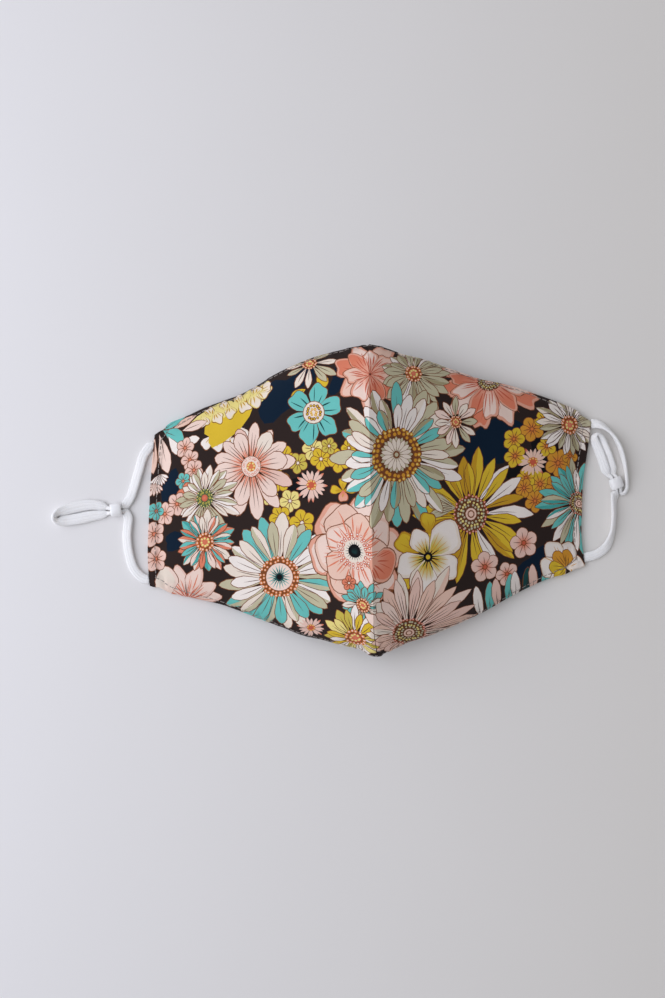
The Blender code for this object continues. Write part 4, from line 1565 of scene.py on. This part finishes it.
loop = {
    "width": 0.0047,
    "thick": 0.0018,
    "stub": 0.0015,
    "clearance": 0.0003,
    "spacing": 0.0022,
    "stopperLength": 0.0055,
    "stopperHeight": 0.0047,
    "roundCount": 16,
    "step": 0.0007,
    "round": 0.0033,  # the plain tube that this replaces
    "pinched": 0.0017,
    "clear": 0.00005,  # between the elastic and the table
}

# x and y in mm on the table, the share of the full size, and the roll of the flat side in degrees
leftRoute = {
    "side": -1,
    "upperY": 0.0325,
    "lowerY": -0.0336,
    "stopper": (-126.5, 1.5, 186.0),
    "before": [
        (-109.3, 31.6, 1.0, 0),
        (-112.2, 27.6, 1.0, -6),
        (-114.8, 20.0, 1.0, -12),
        (-117.3, 12.6, 1.0, -12),
        (-119.4, 7.4, 1.0, -6),
        (-122.2, 3.6, 0.94, 0),
    ],
    "tail": [
        (-131.6, 2.9, 0.72, 0),
        (-134.4, 3.9, 0.95, 0),
        (-139.6, 4.6, 1.15, 0),
        (-146.0, 3.9, 1.2, 5),
        (-152.0, 2.5, 1.15, 15),
        (-156.0, 1.0, 1.0, 55),
        (-157.6, -0.9, 1.0, 80),
        (-156.4, -2.6, 1.0, 55),
        (-153.2, -2.9, 1.15, 15),
        (-146.4, -2.2, 1.2, 5),
        (-140.0, -1.2, 1.15, 0),
        (-134.4, -0.5, 0.95, 0),
        (-131.6, -0.1, 0.72, 0),
    ],
    "after": [
        (-122.5, 0.4, 0.9, 0),
        (-120.9, -2.6, 1.0, -6),
        (-121.2, -6.0, 1.0, -12),
        (-121.9, -12.5, 1.0, -14),
        (-121.2, -21.0, 1.0, -12),
        (-119.2, -28.0, 1.0, -6),
        (-116.0, -32.2, 1.0, 0),
    ],
    "twist": 0,
}
rightRoute = {
    "side": 1,
    "upperY": 0.0345,
    "lowerY": -0.0320,
    "stopper": (122.8, 4.3, 109.0),
    "before": [
        (114.4, 34.4, 1.0, 20),
        (118.2, 32.6, 1.0, 55),
        (122.0, 28.6, 1.0, 80),
        (124.9, 23.2, 1.0, 90),
        (126.7, 17.0, 1.0, 90),
        (127.8, 10.4, 0.9, 80),
        (128.4, 5.0, 0.75, 70),
        (128.2, 1.4, 0.7, 60),
        (126.7, -0.9, 0.7, 60),
        (125.2, -0.4, 0.6, 30),
    ],
    "tail": [
        (121.9, 9.2, 0.72, 0),
        (120.9, 12.8, 0.95, 15),
        (119.4, 18.2, 1.0, 25),
        (117.7, 23.0, 1.0, 35),
        (116.5, 26.2, 1.0, 50),
        (115.4, 28.2, 1.0, 70),
        (114.0, 29.0, 1.0, 90),
        (112.9, 28.2, 1.0, 110),
        (112.9, 26.5, 1.0, 130),
        (113.5, 24.7, 1.0, 145),
        (114.8, 21.4, 1.0, 155),
        (116.4, 16.8, 1.0, 155),
        (117.9, 11.9, 0.95, 165),
        (119.5, 8.7, 0.72, 180),
    ],
    "after": [
        (122.2, -1.0, 0.9, 20),
        (121.3, -4.6, 1.0, 50),
        (120.9, -12.8, 1.0, 60),
        (119.6, -21.0, 1.0, 50),
        (116.6, -27.2, 1.0, 20),
        (111.8, -30.6, 1.0, 5),
    ],
    "twist": 180,  # the flat side's turn from one end to the other
}


def hemEdge(side, y):  # the side hem's outer edge at y, and the way straight out of it
    column = forms[side]["under"][-1]
    x = np.interp(y, column[:, 1], column[:, 0])
    lean = np.interp(y + 0.003, column[:, 1], column[:, 0]) - x
    out = unit(np.array([0.003 * side, -lean * side]))
    return np.array([x, y]), out


def stopperWays(route):  # its place, the way through it and the way across it
    x, y, turn = route["stopper"]
    c, s = math.cos(math.radians(turn)), math.sin(math.radians(turn))
    return np.array([x * mm, y * mm, 0.0]), np.array([c, s, 0.0]), np.array([-s, c, 0.0])


def routeOf(route):
    ends = []
    for y in (route["upperY"], route["lowerY"]):
        edge, out = hemEdge(route["side"], y)
        for reach in (loop["clearance"], loop["clearance"] + loop["stub"]):
            ends.append((*(edge + out * reach), loop["round"] / 2, 1.0, 0.0))
    stopper, way, across = stopperWays(route)
    reach = loop["stopperLength"] / 2 + loop["clearance"]

    def lying(rows, twist=0):
        return [(x * mm, y * mm, loop["round"] * s / 2, s, roll + twist) for x, y, s, roll in rows]

    def through(offset, steps, twist=0.0):
        spots = [stopper + across * offset + way * reach * s for s in steps]
        share = loop["pinched"] / loop["round"]
        return [(x, y, loop["stopperHeight"] / 2, share, twist) for x, y, _ in spots]

    half, twist = -loop["spacing"] / 2, route["twist"]
    points = ends[:2] + lying(route["before"]) + through(half, (-1, 0, 1))
    points += lying(route["tail"]) + through(-half, (1, 0, -1), twist)
    points += lying(route["after"], twist)
    points += [(*end[:4], float(twist)) for end in ends[:1:-1]]
    return np.array(points)


def smoothRoute(points):  # a smooth curve through the route's points, in short steps
    before = np.concatenate([points[:1], points[:-1]])
    after = np.concatenate([points[1:], points[-1:]])
    slope = (after - before) / 2
    path = []
    for index in range(len(points) - 1):
        length = np.linalg.norm(points[index + 1, :3] - points[index, :3])
        pieces = max(2, round(length / loop["step"]))
        for t in np.arange(pieces) / pieces:
            path.append(
                hermite(t, points[index], slope[index], points[index + 1], slope[index + 1])
            )
    path.append(points[-1])
    return np.array(path)


def power(values, exponent):  # keeps the sign
    return np.sign(values) * np.abs(values) ** exponent


def ringFaces(rings, around, closed):  # between each ring of corners and the next
    return [
        (i * around + j, i * around + k, n * around + k, n * around + j)
        for i, n in zip(range(rings if closed else rings - 1), [*range(1, rings), 0])
        for j, k in zip(range(around), [*range(1, around), 0])
    ]


def addLoop(name, node, route):
    path = smoothRoute(routeOf(route))
    way = unit(np.gradient(path[:, :3], axis=0))
    up = np.array([0.0, 0.0, 1.0])
    aside = unit(np.cross(way, up))
    upper = np.cross(aside, way)
    roll = np.radians(path[:, 4])[:, None]
    flatWay = aside * np.cos(roll) + upper * np.sin(roll)
    thickWay = upper * np.cos(roll) - aside * np.sin(roll)
    size = path[:, 3:4]
    pinch = smoothStep((size - 0.55) / 0.4)
    width = (loop["pinched"] + (loop["width"] - loop["pinched"]) * pinch) * np.maximum(size, 1)
    thick = loop["pinched"] + (loop["thick"] - loop["pinched"]) * pinch
    count = loop["roundCount"]
    turns = np.arange(count) * 2 * math.pi / count
    c, s = power(np.cos(turns), 0.62), power(np.sin(turns), 0.68)
    rings = (
        path[:, None, :3]
        + flatWay[:, None] * (c * width / 2)[..., None]
        + thickWay[:, None] * (s * thick / 2)[..., None]
    )
    spare = rings[..., 2].min(axis=1) - loop["clear"]
    lying = path[:, 2] < loop["round"] * 0.63
    drop = np.where(lying, spare, np.minimum(spare, 0))
    soft = np.convolve(np.pad(drop, 4, mode="edge"), np.ones(9) / 9, mode="valid")
    rings[..., 2] -= np.minimum(soft, spare)[:, None]
    path[:, 2] -= np.minimum(soft, spare)
    ends = [range(count)[::-1], range((len(path) - 1) * count, len(path) * count)]
    faces = ringFaces(len(path), count, False) + ends
    piece = meshFrom(name, rings.reshape(-1, 3), faces, whiteElastic)
    lengths = np.concatenate([[0], np.cumsum(np.linalg.norm(np.diff(path[:, :3], axis=0), axis=1))])
    knit = piece.data.uv_layers.new(name="knit")
    girth = 2 * (loop["width"] + loop["thick"]) * 0.8
    for polygon in piece.data.polygons:
        corners = [piece.data.loops[i].vertex_index for i in polygon.loop_indices]
        around = [c % count for c in corners]
        seam = max(around) - min(around) > count / 2
        for loopIndex, corner, spot in zip(polygon.loop_indices, corners, around):
            share = (spot + count if seam and spot < count / 2 else spot) / count
            knit.data[loopIndex].uv = (share * girth, lengths[corner // count])
    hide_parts(node)
    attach(piece, "root")
    print(name, "length", round(float(lengths[-1]), 4))
    return piece, path, float(lengths[-1])


bead = {"long": 0.0056, "wide": 0.0066, "tall": 0.0047, "holeWide": 0.0040, "holeTall": 0.0018,
        "around": 36, "through": 28, "soft": 0.82, "clear": 0.00002}


def addStopper(name, node, route):  # a soft barrel with one oval hole for both strands
    middle, way, across = stopperWays(route)
    middle[2] = bead["tall"] / 2 + bead["clear"]
    up = np.array([0.0, 0.0, 1.0])
    turns = np.arange(bead["around"]) * 2 * math.pi / bead["around"]

    def oval(wide, tall, exponent):
        c, s = power(np.cos(turns), exponent), power(np.sin(turns), exponent)
        return c[:, None] * wide / 2 * across + s[:, None] * tall / 2 * up

    hole = oval(bead["holeWide"], bead["holeTall"], 1)
    outer = oval(bead["wide"], bead["tall"], 0.92)
    places = []
    for step in range(bead["through"]):
        turnBy = 2 * math.pi * step / bead["through"]
        along = power(math.cos(turnBy), bead["soft"]) * bead["long"] / 2
        mix = (1 + power(math.sin(turnBy), bead["soft"])) / 2
        places.append(middle + hole + (outer - hole) * mix + way * along)
    faces = ringFaces(bead["through"], bead["around"], True)
    piece = meshFrom(name, np.concatenate(places), faces, whiteSilicone)
    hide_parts(node)
    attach(piece, "root")
    return piece


for sideName, route in (("left", leftRoute), ("right", rightRoute)):
    stopper = addStopper("softStopper" + sideName.title(), "cord_stopper_" + sideName, route)
    piece, path, length = addLoop("earLoop" + sideName.title(), "ear_loop_" + sideName, route)

print("all pieces made")
